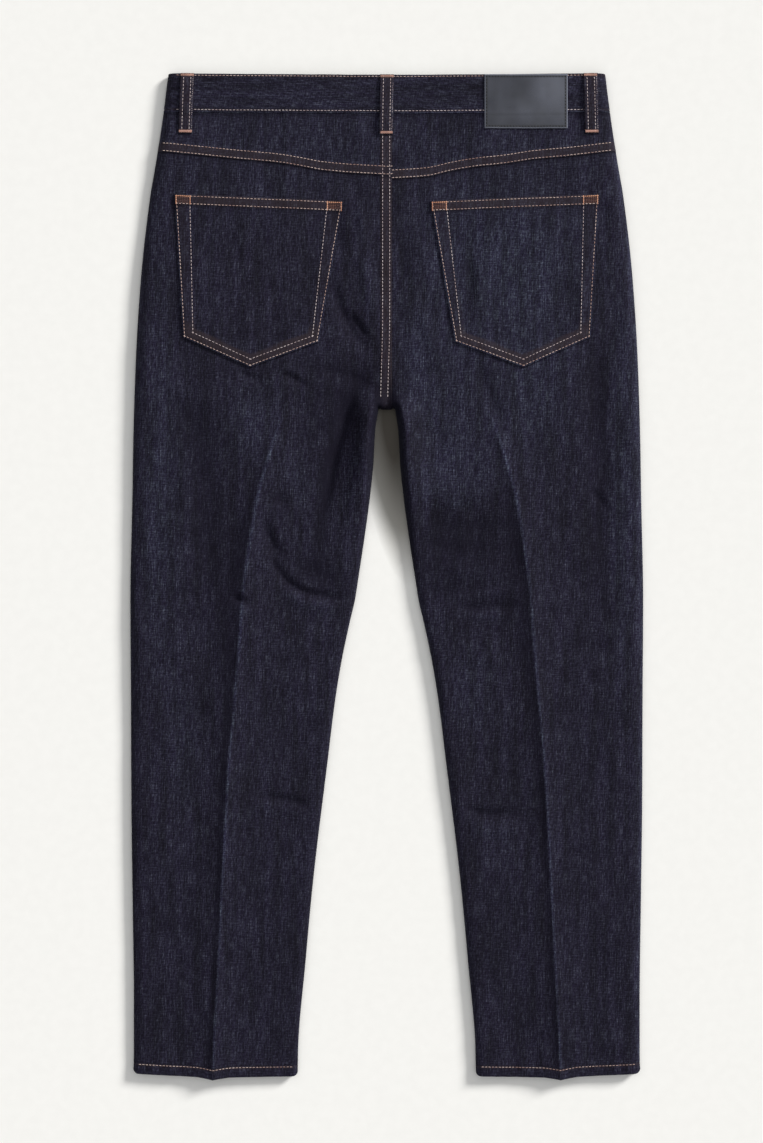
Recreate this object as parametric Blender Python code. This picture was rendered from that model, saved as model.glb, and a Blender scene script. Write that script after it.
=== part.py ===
"""Carrot fit jeans, laid face down on a flat surface, so that the back shows.

The cloth is a set of thin walls: two back panels under two yokes, two front panels with pocket
facings, one waistband and two turned hems, with pockets, belt loops, a patch and a button on them.
Sizes are in millimetres. A place on the garment is given by x, its distance to the right of the
seat seam, and by down, its distance below the waist's top line. z is the height above the floor.
Each piece is a sheet of such points with the direction that faces out of the garment at each, and
the piece's wall lies between two distances along that direction.
"""

import math
from collections import namedtuple

import bmesh
import bpy
import numpy as np

MM = 0.001

# Overall sizes and cloth
LENGTH = 1030.0
CLOTH = 1.2
SEAM_GAP = 0.3
LAP_RISE = 0.9
FELL_WIDTH = 9.5

# Rows of a yoke: their share of the way down to the fell, and how far they lie past its top
YOKE_SHARE = (0, 1 / 3, 2 / 3, 1, 1, 1)
YOKE_PAST = (0, 0, 0, -2, 0, FELL_WIDTH)

# How the cloth turns over at the sides of a leg
RIM_HEIGHT = 4.5
BACK_CURL = 12.0
INNER_CURL = 9.0
FRONT_CURL = 5.0
CURL_ANGLES = np.radians([0, 16, 36, 60, 90])

# Waistband
BAND_HEIGHT = 40.0
BAND_THICK = 2.4
BAND_PROUD = 0.7
BACK_DIP = 1.5
FRONT_DIP = 18.0
BAND_END = 2.0
BAND_CLIMB = 15.0
BAND_ROWS = (0, 1 / 3, 2 / 3, 1)

# Crotch, seat seam and fly. The left piece of the seat laps over the right one.
CROTCH = 343.0
SEAT_LAP = 5.5
SEAT_FELL = 4.9
SEAT_FELL_FOOT = 7.2
FLY_STEP = 0.8
FLY_WIDTH = 14.0
FLY_LOW = 180.0

# Hems
HEM_HEIGHT = 11.5
HEM_THICK = 2.6
HEM_PROUD = 0.5
HEM_TIP = 2.0
HEM_TIP_REACH = 16.0
HEM_OUTER_RISE = 4.0
HEM_INNER_RISE = 1.2
HEM_CORNER = 5.0
HEM_ROWS = (0, 0.12, 0.5, 0.85, 1)

# The pressed crease of each leg
RIDGE_REACH = 42.0
RIDGE_POWER = 1.8

# Belt loops
LOOP_WIDTH = 14.0
LOOP_LENGTH = 61.5
LOOP_THICK = 1.5
LOOP_ARCH = 1.4
LOOP_FRONT_X = 84.0
LOOP_SLOPE = 12.0
LOOP_SPREAD = (0, 0.07, 0.14, 0.22, 0.5, 0.78, 0.86, 0.93, 1)

# Patch and button
PATCH_WIDTH = 85.0
PATCH_HEIGHT = 55.0
PATCH_THICK = 1.4
PATCH_X = 142.4
PATCH_DOWN = 1.6
PATCH_ROWS = (0, 8, 16, 24, 32, 40, 43.5, 49, PATCH_HEIGHT)
BUTTON_X = -13.0
BUTTON_RADIUS = 8.5
BUTTON_THICK = 4.4
BUTTON_DISH = 0.9
BUTTON_LIFT = 4.8
BUTTON_CLEAR = 11.0
BUTTON_SLOPE = 24.0
BUTTON_SIDES = 32

# Pockets
POCKET_THICK = 1.4
POCKET_HEM = 10.5
POCKET_HEM_RISE = 0.6
POCKET_SPREAD = (0, 0.07, 0.2, 0.33, 0.44, 0.55, 0.66, 0.77, 0.88, 0.95, 1)
SCOOP_START = 112.0
SCOOP_LOW = 133.0
FACING_TUCK = 10.0
FACING_DIVE = 14.0
FACING_CLEAR = 4.0
FACING_ROWS = 8

Side = namedtuple("Side", "down outer fullness")
SIDES = (
    Side(0, 223.9, 12.4),
    Side(44, 229.5, 12.2),
    Side(88, 236.2, 12.2),
    Side(128, 242.9, 12.4),
    Side(210, 252.1, 13.0),
    Side(293, 257.3, 13.2),
    Side(375, 259.9, 12.8),
    Side(436, 260.9, 12.2),
    Side(539, 262.9, 11.4),
    Side(642, 262.3, 11.2),
    Side(745, 261.9, 11.0),
    Side(847, 260.6, 10.6),
    Side(950, 259.3, 10.2),
    Side(1001, 259.3, 9.8),
    Side(1030, 260.0, 9.6),
)

Leg = namedtuple("Leg", "down inner crease ridge")
LEGS = (
    Leg(343, 8.2, 103.0, 0.0),
    Leg(365, 11.8, 111.5, 1.4),
    Leg(398, 13.6, 122.0, 2.6),
    Leg(436, 17.5, 132.5, 3.7),
    Leg(477, 23.1, 139.3, 4.2),
    Leg(518, 29.3, 145.3, 4.4),
    Leg(539, 32.6, 147.3, 4.4),
    Leg(560, 37.5, 148.8, 4.4),
    Leg(601, 46.2, 152.0, 4.5),
    Leg(642, 52.9, 155.5, 4.6),
    Leg(704, 60.6, 161.0, 4.6),
    Leg(827, 75.5, 168.0, 4.5),
    Leg(909, 83.2, 172.0, 4.4),
    Leg(1001, 90.9, 177.0, 4.2),
    Leg(1030, 91.3, 178.0, 4.0),
)

# The yoke's lapped edge, by distance from the seat seam, on the left and on the right
Yoke = namedtuple("Yoke", "across left right")
YOKE = (
    Yoke(0, 104.7, 108.9),
    Yoke(40, 102.4, 106.3),
    Yoke(67, 99.8, 100.4),
    Yoke(90, 95.6, 96.6),
    Yoke(117, 91.6, 93.8),
    Yoke(150, 88.6, 88.8),
    Yoke(185, 85.0, 85.6),
    Yoke(240, 79.6, 79.0),
)

# Soft troughs, or ridges where rise is above zero. Each bends from start past bend to end, is reach
# wide to each side, and is at its strongest at the share peak of its length.
Fold = namedtuple("Fold", "start bend end reach rise peak")
FOLDS = (
    Fold((1.5, 306), (1.5, 325), (0, 345), 8, -3.4, 1.0),
    Fold((-52, 204), (-38, 256), (-10, 296), 9, -1.8, 0.6),
    Fold((-25, 176), (-22, 220), (-15, 266), 9, 0.9, 0.5),
    Fold((-148, 312), (-110, 322), (-76, 316), 8, -1.2, 0.5),
    Fold((-33, 300), (-50, 372), (-68, 476), 11, -2.0, 0.5),
    Fold((-119, 476), (-104, 532), (-30, 541), 8, -2.8, 0.6),
    Fold((-92, 551), (-62, 556), (-38, 557), 8, 0.9, 0.5),
    Fold((-176, 340), (-173, 440), (-180, 590), 17, -1.1, 0.5),
    Fold((-152, 738), (-106, 742), (-75, 751), 7, -1.0, 0.5),
    Fold((86, 290), (103, 326), (119, 372), 8, -1.5, 0.5),
    Fold((23, 398), (62, 440), (114, 422), 22, 1.5, 0.5),
    Fold((40, 532), (70, 526), (94, 530), 10, -1.5, 0.5),
    Fold((88, 544), (119, 540), (146, 539), 6, -1.7, 0.6),
    Fold((32, 540), (46, 539), (62, 536), 7, -1.4, 0.2),
    Fold((73, 752), (98, 760), (150, 759), 7, -1.0, 0.5),
    Fold((210, 404), (213, 530), (219, 706), 15, -1.2, 0.5),
)
FOLD_STEPS = 12

# Corners of a back pocket, by distance from the seat seam
Corner = namedtuple("Corner", "across down")
POCKET_TOP_OUTER = Corner(217.3, 123.8)
POCKET_TOP_INNER = Corner(44.6, 130.9)
POCKET_LOW_INNER = Corner(69.4, 275.3)
POCKET_POINT = Corner(139.8, 301.4)
POCKET_LOW_OUTER = Corner(208.6, 270.6)

# Centres of the belt loops of the back, at the waist's top line and at their lower end
Loop = namedtuple("Loop", "name top_x low_x")
BACK_LOOPS = (
    Loop("loop_back_centre", 0.3, -0.8),
    Loop("loop_back_left", -203.8, -206.0),
    Loop("loop_back_right", 208.2, 209.8),
)

# Where the rows of a panel lie close together: from, to and step
Rows = namedtuple("Rows", "start end step")
BACK_ROWS = (
    Rows(96, 302, 20.6),
    Rows(302, 334, 8.0),
    Rows(343, 498, 19.4),
    Rows(498, 562, 8.0),
    Rows(562, 730, 28.0),
    Rows(730, 770, 10.0),
    Rows(770, 1005, 29.4),
)
FRONT_ROWS = (
    Rows(60, 100, 10.0),
    Rows(100, 160, 20.0),
    Rows(160, 338, 44.5),
    Rows(343, 1005, 66.2),
)
TOP_BLEND = 150.0
HEM_BLEND = 60.0
TINY = 0.001
SHARP_ANGLE = math.radians(40)
STEP_SLOPE = 3.0

# Where the columns of a panel lie: at the seat seam or the fly, then shares of the way to the crease
# and of the way from it to the outer side
SEAT_COLUMNS = {
    -1: (SEAM_GAP / 2 - SEAT_LAP, SEAT_FELL, SEAT_FELL_FOOT),
    1: (SEAT_LAP + SEAM_GAP / 2,),
}
FLY_COLUMNS = {-1: (SEAM_GAP / 2,), 1: (SEAM_GAP / 2, 4.0)}
SCOOP_SPREAD = 1 - np.cos(np.radians([15, 30, 45, 60, 75, 90]))
BACK_SPREAD = (np.linspace(0.2, 1, 5), np.linspace(0.25, 1, 4))
FRONT_SPREAD = ((0.35, 0.56, 0.69, 0.89, 1.0), SCOOP_SPREAD)
BAND_FRONT_LEFT = (-BAND_END, 5, 13, 21, 29, 37, 50, 63, 75, 93, 104, 150, 190)
BAND_BACK = (-170, -130, -90, -50, -15, 15, 50, 90, 130, 170)
BAND_FRONT_RIGHT = (190, 150, 104, 93, 75, 63, 50, 37, 17.3, 12, 7.5, 2.3, -5, -13, -21, -29, -35)

# Colour, roughness and metallic value of each material
Finish = namedtuple("Finish", "colour roughness metallic")
RAW_DENIM = Finish((0.016, 0.017, 0.030), 0.88, 0.0)
SLATE_LEATHER = Finish((0.030, 0.037, 0.052), 0.52, 0.0)
ANTIQUE_COPPER = Finish((0.36, 0.19, 0.11), 0.38, 1.0)

# Points of the garment, with the direction out of it at each
Sheet = namedtuple("Sheet", "x down z lean_x lean_down lean_z")

# A column of a panel is plus and shares of its leg's inner edge, crease and outer edge
Columns = namedtuple("Columns", "plus inner crease outer")


def clear_scene():
    for old in list(bpy.data.objects):
        bpy.data.objects.remove(old)


def smooth(rows, column, at):
    """A smooth curve through one column of a table, by its first column, that never overshoots."""
    known = np.array([row[0] for row in rows], float)
    value = np.array([getattr(row, column) for row in rows], float)
    step = np.diff(known)
    slope = np.diff(value) / step
    total = slope[:-1] + slope[1:]
    same_way = slope[:-1] * slope[1:] > 0
    middle = 2 * slope[:-1] * slope[1:] / np.where(same_way, total, 1)
    tangent = np.concatenate([slope[:1], np.where(same_way, middle, 0), slope[-1:]])
    at = np.clip(at, known[0], known[-1])
    k = np.clip(np.searchsorted(known, at, side="right") - 1, 0, len(step) - 1)
    t = (at - known[k]) / step[k]
    ends = value[k] * (1 + 2 * t) * (1 - t) ** 2 + value[k + 1] * t * t * (3 - 2 * t)
    return ends + step[k] * t * (1 - t) * (tangent[k] * (1 - t) - tangent[k + 1] * t)


def ease(t):
    t = np.clip(t, 0.0, 1.0)
    return t * t * (3 - 2 * t)


def round_off(t):
    """A quarter of an ellipse: 0 at the edge and 1 from t = 1 inwards."""
    return np.sqrt(1 - (1 - np.clip(t, 0.0, 1.0)) ** 2)


def outer_edge(down):
    return smooth(SIDES, "outer", down)


def inner_edge(down):
    return smooth(LEGS, "inner", down)


def crease_line(down):
    return smooth(LEGS, "crease", down)


def back_waist(x):
    return BACK_DIP * (1 - np.clip(np.abs(x) / SIDES[0].outer, 0, 1) ** 2)


def front_waist(x):
    return FRONT_DIP * (1 - np.clip(np.abs(x) / SIDES[0].outer, 0, 1) ** 2)


def yoke_line(x):
    across = np.abs(x)
    return np.where(x < SEAT_LAP, smooth(YOKE, "left", across), smooth(YOKE, "right", across))


def scoop_line(x):
    """The edge of the front pocket's opening, which is the band's lower edge nearer the fly."""
    top = front_waist(x) + BAND_HEIGHT
    side = outer_edge(SCOOP_LOW) - FRONT_CURL
    share = np.clip((np.abs(x) - SCOOP_START) / (side - SCOOP_START), 0, 1)
    return top + (SCOOP_LOW - top) * round_off(share)


def hem_line(x):
    """The hem's lower edge, which dips at the crease."""
    across = np.abs(x)
    outer, inner, crease = outer_edge(LENGTH), inner_edge(LENGTH), crease_line(LENGTH)
    tip = HEM_TIP * np.clip(np.abs(across - crease) / HEM_TIP_REACH, 0, 1)
    outwards = HEM_OUTER_RISE * np.clip((across - crease) / (outer - crease), 0, 1)
    inwards = HEM_INNER_RISE * np.clip((crease - across) / (crease - inner), 0, 1)
    return LENGTH - tip - outwards - inwards


def fold_rise(fold, x, down):
    """How far one fold lifts the cloth at each point."""
    t = np.linspace(0, 1, FOLD_STEPS + 1)[:, None]
    start, bend, end = (np.array(point, float) for point in fold[:3])
    path = start * (1 - t) ** 2 + (4 * bend - start - end) * t * (1 - t) + end * t**2
    nearest = np.full(np.shape(x), np.inf)
    share = np.zeros(np.shape(x))
    for k in range(FOLD_STEPS):
        way = path[k + 1] - path[k]
        reach = ((x - path[k, 0]) * way[0] + (down - path[k, 1]) * way[1]) / (way @ way)
        reach = np.clip(reach, 0, 1)
        off_x = x - path[k, 0] - reach * way[0]
        off_down = down - path[k, 1] - reach * way[1]
        distance = np.hypot(off_x, off_down)
        closer = distance < nearest
        share = np.where(closer, (k + reach) / FOLD_STEPS, share)
        nearest = np.where(closer, distance, nearest)
    strength = ease(share / fold.peak)
    if fold.peak < 1:
        strength = np.minimum(strength, ease((1 - share) / (1 - fold.peak)))
    return fold.rise * strength * np.exp(-((nearest / fold.reach) ** 2))


def turn_over(x, down, outer_curl, inner_curl):
    """How the cloth turns over at the outline: its share of full height, and its lean outwards."""
    side = np.where(x < 0, -1.0, 1.0)
    across = np.abs(x)
    corner = LEGS[0].inner
    in_leg = down > CROTCH + TINY
    to_outer = np.clip((outer_edge(down) - across) / outer_curl, 0, 1)
    away_x = np.where(in_leg, across - inner_edge(down), np.maximum(across - corner, 0))
    away_down = np.where(in_leg, 0, CROTCH - down)
    distance = np.hypot(away_x, away_down)
    on_edge = np.where(across > corner - SEAM_GAP, math.sqrt(0.5), 0)
    unit_x = np.where(distance > TINY, away_x / np.maximum(distance, TINY), on_edge)
    unit_x = np.where(in_leg, 1, unit_x)
    to_inner = np.clip(distance / inner_curl, 0, 1)
    share = round_off(to_outer) * round_off(to_inner)
    lean_x = side * ((1 - to_outer) - (1 - to_inner) * unit_x)
    return share, lean_x, (1 - to_inner) * np.sqrt(1 - unit_x**2)


def back_sheet(x, down, rim=RIM_HEIGHT + SEAM_GAP / 2):
    """The outer surface of the back cloth, with its creases and folds."""
    off_crease = np.clip(np.abs(np.abs(x) - crease_line(down)) / RIDGE_REACH, 0, 1)
    ridge = smooth(LEGS, "ridge", down) * (1 - off_crease) ** RIDGE_POWER
    height = smooth(SIDES, "fullness", down) + ridge
    for fold in FOLDS:
        height = height + fold_rise(fold, x, down)
    share, lean_x, lean_down = turn_over(x, down, BACK_CURL, INNER_CURL)
    return Sheet(x, down, rim + (height - rim) * share, lean_x, lean_down, share)


def front_lift(x, down):
    """Where the front is lifted off the floor, over the button and over the two front loops."""
    button_down = front_waist(BUTTON_X) + BAND_HEIGHT / 2
    off_button = np.hypot(x - BUTTON_X, down - button_down) - BUTTON_CLEAR
    over_button = BUTTON_LIFT * (1 - ease(off_button / BUTTON_SLOPE))
    middle = front_waist(LOOP_FRONT_X) + LOOP_LENGTH / 2
    past_side = np.maximum(np.abs(np.abs(x) - LOOP_FRONT_X) - LOOP_WIDTH / 2 - 1, 0)
    past_end = np.maximum(np.abs(down - middle) - LOOP_LENGTH / 2 - 1, 0)
    off_loop = np.hypot(past_side, past_end)
    over_loop = (LOOP_THICK + SEAM_GAP) * (1 - ease(off_loop / LOOP_SLOPE))
    return np.maximum(over_button, over_loop)


def front_sheet(x, down, rim=RIM_HEIGHT - SEAM_GAP / 2):
    """The outer surface of the front cloth, which lies on the floor."""
    share, lean_x, lean_down = turn_over(x, down, FRONT_CURL, FRONT_CURL)
    z = rim * (1 - share) + front_lift(x, down) * share
    return Sheet(x, down, z, lean_x, lean_down, -share)


def raised(sheet, height):
    """The sheet with its points moved outwards."""
    x = sheet.x + height * sheet.lean_x
    down = sheet.down + height * sheet.lean_down
    return sheet._replace(x=x, down=down, z=sheet.z + height * sheet.lean_z)


def in_metres(sheet):
    """The sheet's points in metres, with the waist towards +Y."""
    return np.stack([sheet.x, LENGTH / 2 - sheet.down, sheet.z], axis=-1) * MM


def finish_material(name, finish):
    material = bpy.data.materials.new(name)
    material.use_nodes = True
    shader = material.node_tree.nodes["Principled BSDF"]
    shader.inputs["Base Color"].default_value = (*finish.colour, 1.0)
    shader.inputs["Roughness"].default_value = finish.roughness
    shader.inputs["Metallic"].default_value = finish.metallic
    return material


def add_object(name, shape, finish):
    mesh = bpy.data.meshes.new(name)
    shape.to_mesh(mesh)
    shape.free()
    mesh.materials.append(finish_material(f"{name}_material", finish))
    mesh.shade_smooth()
    mesh.set_sharp_from_angle(angle=SHARP_ANGLE)
    made = bpy.data.objects.new(name, mesh)
    bpy.context.scene.collection.objects.link(made)
    return made


def add_wall(name, sheet, low, high, finish, present=None, ring=False):
    """A closed wall between two distances from a sheet.

    present says which points of the sheet the piece has, and ring joins the last column to the
    first. The columns are turned round where they run the wrong way for the outward side. An edge
    that only one outer face uses gets a face from the outer to the inner side.
    """
    shape = bmesh.new()
    outer, inner = in_metres(raised(sheet, high)), in_metres(raised(sheet, low))
    present = np.ones(sheet.x.shape, bool) if present is None else present
    middle = sheet.x.shape[1] // 2
    run = sheet.x[0, middle] - sheet.x[0, middle - 1]
    if run * sheet.lean_z[0, middle] < 0:
        outer, inner, present = outer[:, ::-1], inner[:, ::-1], present[:, ::-1]
    points = {}
    for where in zip(*np.nonzero(present)):
        points[where] = shape.verts.new(outer[where]), shape.verts.new(inner[where])
    rows, columns = present.shape
    edges = set()
    for row in range(rows - 1):
        for column in range(columns if ring else columns - 1):
            after = (column + 1) % columns
            cell = ((row, column), (row + 1, column), (row + 1, after), (row, after))
            if all(present[corner] for corner in cell):
                shape.faces.new([points[corner][0] for corner in cell])
                shape.faces.new([points[corner][1] for corner in cell[::-1]])
                edges.update(zip(cell, cell[1:] + cell[:1]))
    for start, end in edges:
        if (end, start) not in edges:
            (outer_start, inner_start), (outer_end, inner_end) = points[start], points[end]
            shape.faces.new((outer_end, outer_start, inner_start, inner_end))
    return add_object(name, shape, finish)


def panel_columns(seam, to_crease, to_outer, inner_curl, outer_curl):
    """Columns of a panel from the seat seam outwards.

    seam holds the places of the columns that end at the crotch. to_crease and to_outer hold shares
    of the way from the inner curl to the crease and from it to the outer curl.
    """
    widths = 1 - np.cos(CURL_ANGLES)
    found = [(place, 0, 0, 0) for place in seam]
    found += [(inner_curl * width, 1, 0, 0) for width in widths]
    found += [(inner_curl * (1 - t), 1 - t, t, 0) for t in to_crease]
    found += [(-outer_curl * t, 0, 1 - t, t) for t in to_outer]
    found += [(-outer_curl * width, 0, 0, 1) for width in widths[-2::-1]]
    return Columns(*np.array(found, float).T)


def settle(columns, side, rows):
    """x and down of a panel's points. rows gives each row's distance down from the points' x."""
    down = np.full((1, len(columns.plus)), CROTCH)
    for _ in range(4):
        across = columns.plus + columns.outer * outer_edge(down)
        across = across + columns.inner * inner_edge(down) + columns.crease * crease_line(down)
        x = side * across
        down = rows(x)
    x = np.broadcast_to(x, down.shape)
    return x, down


def row_places(stretches, extra):
    found = list(extra)
    for stretch in stretches:
        count = max(1, round((stretch.end - stretch.start) / stretch.step))
        found.extend(np.linspace(stretch.start, stretch.end, count + 1))
    return np.unique(np.round(found, 3))[:, None]


def panel_rows(nominal, top_line):
    """A rule for settle: the first row follows top_line and the last one the hem."""
    near_top = 1 - ease((nominal - nominal[0]) / TOP_BLEND)
    near_hem = ease((nominal - nominal[-1] + HEM_BLEND) / HEM_BLEND)

    def rows(x):
        top = top_line(x) + SEAM_GAP / 2 - nominal[0]
        hem = hem_line(x) - HEM_HEIGHT - SEAM_GAP - nominal[-1]
        return nominal + top * near_top + hem * near_hem

    return rows


def seat_lap(sheet):
    """How far the lapped and felled strip of the seat seam rises, on the left pieces."""
    rise = LAP_RISE * ease((sheet.x + SEAT_FELL_FOOT) / (SEAT_FELL_FOOT - SEAT_FELL))
    return np.where((sheet.x < SEAT_LAP) & (sheet.down < CROTCH + TINY), rise, 0)


def add_back_panel(name, side):
    seam = SEAT_COLUMNS[side]
    columns = panel_columns(seam, *BACK_SPREAD, INNER_CURL, BACK_CURL)
    nominal = row_places(BACK_ROWS, CROTCH - INNER_CURL * (1 - np.cos(CURL_ANGLES)))
    x, down = settle(columns, side, panel_rows(nominal, yoke_line))
    present = (nominal < CROTCH + TINY) | (np.arange(x.shape[1]) >= len(seam))
    sheet = back_sheet(x, down)
    sheet = raised(sheet, seat_lap(sheet))
    add_wall(name, sheet, -CLOTH, 0, RAW_DENIM, present)


def add_yoke(name, side):
    """The yoke, whose lower edge laps over the back panel in a raised fell."""
    columns = panel_columns(SEAT_COLUMNS[side], *BACK_SPREAD, INNER_CURL, BACK_CURL)
    share, past = np.array(YOKE_SHARE)[:, None], np.array(YOKE_PAST)[:, None]

    def rows(x):
        top = back_waist(x) + BAND_HEIGHT + SEAM_GAP / 2
        fell_top = yoke_line(x) - SEAM_GAP / 2 - FELL_WIDTH
        return top + (fell_top - top) * share + past

    x, down = settle(columns, side, rows)
    sheet = back_sheet(x, down)
    fell = np.where((share == 1) & (past >= 0), LAP_RISE, 0)
    sheet = raised(sheet, np.maximum(seat_lap(sheet), fell * sheet.lean_z))
    add_wall(name, sheet, -CLOTH, 0, RAW_DENIM)


def add_front_panel(name, side):
    seam = FLY_COLUMNS[side]
    columns = panel_columns(seam, *FRONT_SPREAD, FRONT_CURL, FRONT_CURL)
    nominal = row_places(FRONT_ROWS, CROTCH - FRONT_CURL * (1 - np.cos(CURL_ANGLES)))
    x, down = settle(columns, side, panel_rows(nominal, scoop_line))
    present = (nominal < CROTCH + TINY) | (np.arange(x.shape[1]) >= len(seam))
    sheet = front_sheet(x, down)
    if side > 0:
        past_fly = (1 - ease(x / FLY_WIDTH)) * (1 - ease((down - FLY_LOW) / FLY_WIDTH))
        sheet = sheet._replace(z=sheet.z + FLY_STEP * past_fly)
    add_wall(name, sheet, -CLOTH, 0, RAW_DENIM, present)


def add_pocket_facing(name, side):
    """The facing in the front pocket's opening, which dives behind the front panel's edge."""
    found = [(SCOOP_START - FACING_TUCK, 0), (SCOOP_START, 0)]
    found += [(SCOOP_START * (1 - t) - FRONT_CURL * t, t) for t in SCOOP_SPREAD]
    found += [(-FRONT_CURL * (1 - math.cos(angle)), 1) for angle in CURL_ANGLES[-2::-1]]
    plus, outer = np.array(found).T
    columns = Columns(plus, 0, 0, outer)
    share = np.linspace(0, 1, FACING_ROWS)[:, None]

    def rows(x):
        top = front_waist(x) + BAND_HEIGHT + SEAM_GAP / 2
        return top + (scoop_line(x) + FACING_TUCK - top) * share

    x, down = settle(columns, side, rows)
    sheet = front_sheet(x, down)
    dive = ease((down - scoop_line(x) + FACING_DIVE + FACING_CLEAR) / FACING_DIVE)
    add_wall(name, raised(sheet, -(CLOTH + SEAM_GAP) * dive), -CLOTH, 0, RAW_DENIM)


def add_waistband(name):
    """The band, from its left end at the fly, round the back, to the end under the left one."""
    found = [(True, -1, place, 0) for place in BAND_FRONT_LEFT]
    found += [(True, -1, -FRONT_CURL * (1 - math.cos(a)), 1) for a in CURL_ANGLES[::-1]]
    found += [(False, -1, -BACK_CURL * (1 - math.cos(a)), 1) for a in CURL_ANGLES[1:]]
    found += [(False, 1, place, 0) for place in BAND_BACK]
    found += [(False, 1, -BACK_CURL * (1 - math.cos(a)), 1) for a in CURL_ANGLES[:0:-1]]
    found += [(True, 1, -FRONT_CURL * (1 - math.cos(a)), 1) for a in CURL_ANGLES]
    found += [(True, 1, place, 0) for place in BAND_FRONT_RIGHT]
    in_front, side, plus, outer = np.array(found, float).T
    share = np.array(BAND_ROWS)[:, None]
    down = BAND_HEIGHT * share
    for _ in range(3):
        x = side * (plus + outer * outer_edge(down))
        down = np.where(in_front == 1, front_waist(x), back_waist(x)) + BAND_HEIGHT * share
    back, front = back_sheet(x, down, RIM_HEIGHT), front_sheet(x, down, RIM_HEIGHT)
    back = raised(back, BAND_PROUD * back.lean_z)
    sheet = Sheet(*(np.where(in_front == 1, *pair) for pair in zip(front, back)))
    climb = np.where(side > 0, ease((BAND_END + SEAM_GAP + BAND_CLIMB - x) / BAND_CLIMB), 0)
    climb = (BAND_THICK + SEAM_GAP) * np.where(in_front == 1, climb, 0)
    add_wall(name, raised(sheet, -climb), -BAND_THICK, 0, RAW_DENIM)


def add_hem(name, side):
    """The turned hem of one leg, a ring that stands a little proud of the back panel."""
    back = panel_columns((), *BACK_SPREAD, INNER_CURL, BACK_CURL)
    front = panel_columns((), *FRONT_SPREAD, FRONT_CURL, FRONT_CURL)
    columns = Columns(*(np.concatenate([a, b[-2:0:-1]]) for a, b in zip(back, front)))
    in_front = np.arange(len(columns.plus)) >= len(back.plus)
    share = np.array(HEM_ROWS)[:, None]

    def rows(x):
        return hem_line(x) - HEM_HEIGHT * (1 - share)

    x, down = settle(columns, side, rows)
    near_side = np.minimum(outer_edge(down) - np.abs(x), np.abs(x) - inner_edge(down))
    corner = HEM_CORNER * (1 - round_off(near_side / HEM_CORNER)) * share**2
    back, front = back_sheet(x, down, RIM_HEIGHT), front_sheet(x, down, RIM_HEIGHT)
    back = raised(back, HEM_PROUD * ease(share / HEM_ROWS[1]) * back.lean_z)
    sheet = Sheet(*(np.where(in_front, *pair) for pair in zip(front, back)))
    sheet = sheet._replace(down=sheet.down - corner)
    add_wall(name, sheet, -HEM_THICK, 0, RAW_DENIM, ring=True)


def between(start, end, share):
    return start + (end - start) * share


def add_back_pocket(name, side):
    """A patch pocket with five corners. Its hem at the top is thicker than the rest."""
    across = np.array(POCKET_SPREAD)[None, :]
    point = POCKET_SPREAD[len(POCKET_SPREAD) // 2]
    to_point, past_point = np.clip(across / point, 0, 1), np.clip((across - point) / (1 - point), 0, 1)

    def low(axis):
        corners = (POCKET_LOW_INNER, POCKET_POINT, POCKET_LOW_OUTER)
        first, middle, last = (getattr(corner, axis) for corner in corners)
        return first + (middle - first) * to_point + (last - middle) * past_point

    depth = POCKET_LOW_INNER.down - POCKET_TOP_INNER.down
    hem = POCKET_HEM / depth
    share = np.concatenate([[0, hem, hem + 0.012], np.linspace(0.17, 1, 8)])[:, None]
    x = between(between(POCKET_TOP_INNER.across, POCKET_TOP_OUTER.across, across), low("across"), share)
    down = between(between(POCKET_TOP_INNER.down, POCKET_TOP_OUTER.down, across), low("down"), share)
    sheet = back_sheet(side * x, down)
    high = SEAM_GAP + POCKET_THICK + POCKET_HEM_RISE * (share < hem + 0.001)
    add_wall(name, sheet, SEAM_GAP, high, RAW_DENIM)


def outside_height(x, down):
    """How far the band and the yoke's fell stand above the back's sheet."""
    band = BAND_PROUD * (1 - ease((down - back_waist(x) - BAND_HEIGHT) / STEP_SLOPE))
    lap = np.where(x < SEAT_LAP + 0.4, LAP_RISE * (1 - ease((np.abs(x) - 5.6) / 2)), 0)
    return np.maximum(band, lap)


def add_back_loop(name, top_x, low_x):
    """A belt loop over the band, fixed at both ends and arched between them."""
    share = np.array(LOOP_SPREAD)[:, None]
    across = np.array([-0.5, -0.17, 0.17, 0.5]) * LOOP_WIDTH
    x = between(top_x, low_x, share) + across
    down = back_waist(x) + LOOP_LENGTH * share
    base = back_sheet(x, np.maximum(down, 0))
    height = outside_height(x, down).max(axis=1, keepdims=True)
    arch = LOOP_ARCH * ease(share / 0.2) * ease((1 - share) / 0.2)
    height = height + SEAM_GAP + arch
    sheet = base._replace(down=down)
    add_wall(name, sheet, height, height + LOOP_THICK, RAW_DENIM)


def add_front_loop(name, side):
    """A belt loop under the band, flat on the floor."""
    share = np.array(LOOP_SPREAD)[:, None]
    across = np.array([-0.5, 0, 0.5]) * LOOP_WIDTH
    x = side * (LOOP_FRONT_X + across) + 0 * share
    down = front_waist(x) + LOOP_LENGTH * share
    flat = np.zeros(x.shape)
    sheet = Sheet(x, down, flat, flat, flat, flat - 1)
    add_wall(name, sheet, -LOOP_THICK, 0, RAW_DENIM)


def add_patch(name):
    """The bare leather patch, over the band and the top of the right yoke."""
    across = np.linspace(-0.5, 0.5, 6)[None, :]
    down = PATCH_DOWN + np.array(PATCH_ROWS, float)[:, None] + 0 * across
    x = PATCH_X + PATCH_WIDTH * across + 0 * down
    height = SEAM_GAP + outside_height(x, down)
    add_wall(name, back_sheet(x, down), height, height + PATCH_THICK, SLATE_LEATHER)


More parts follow.
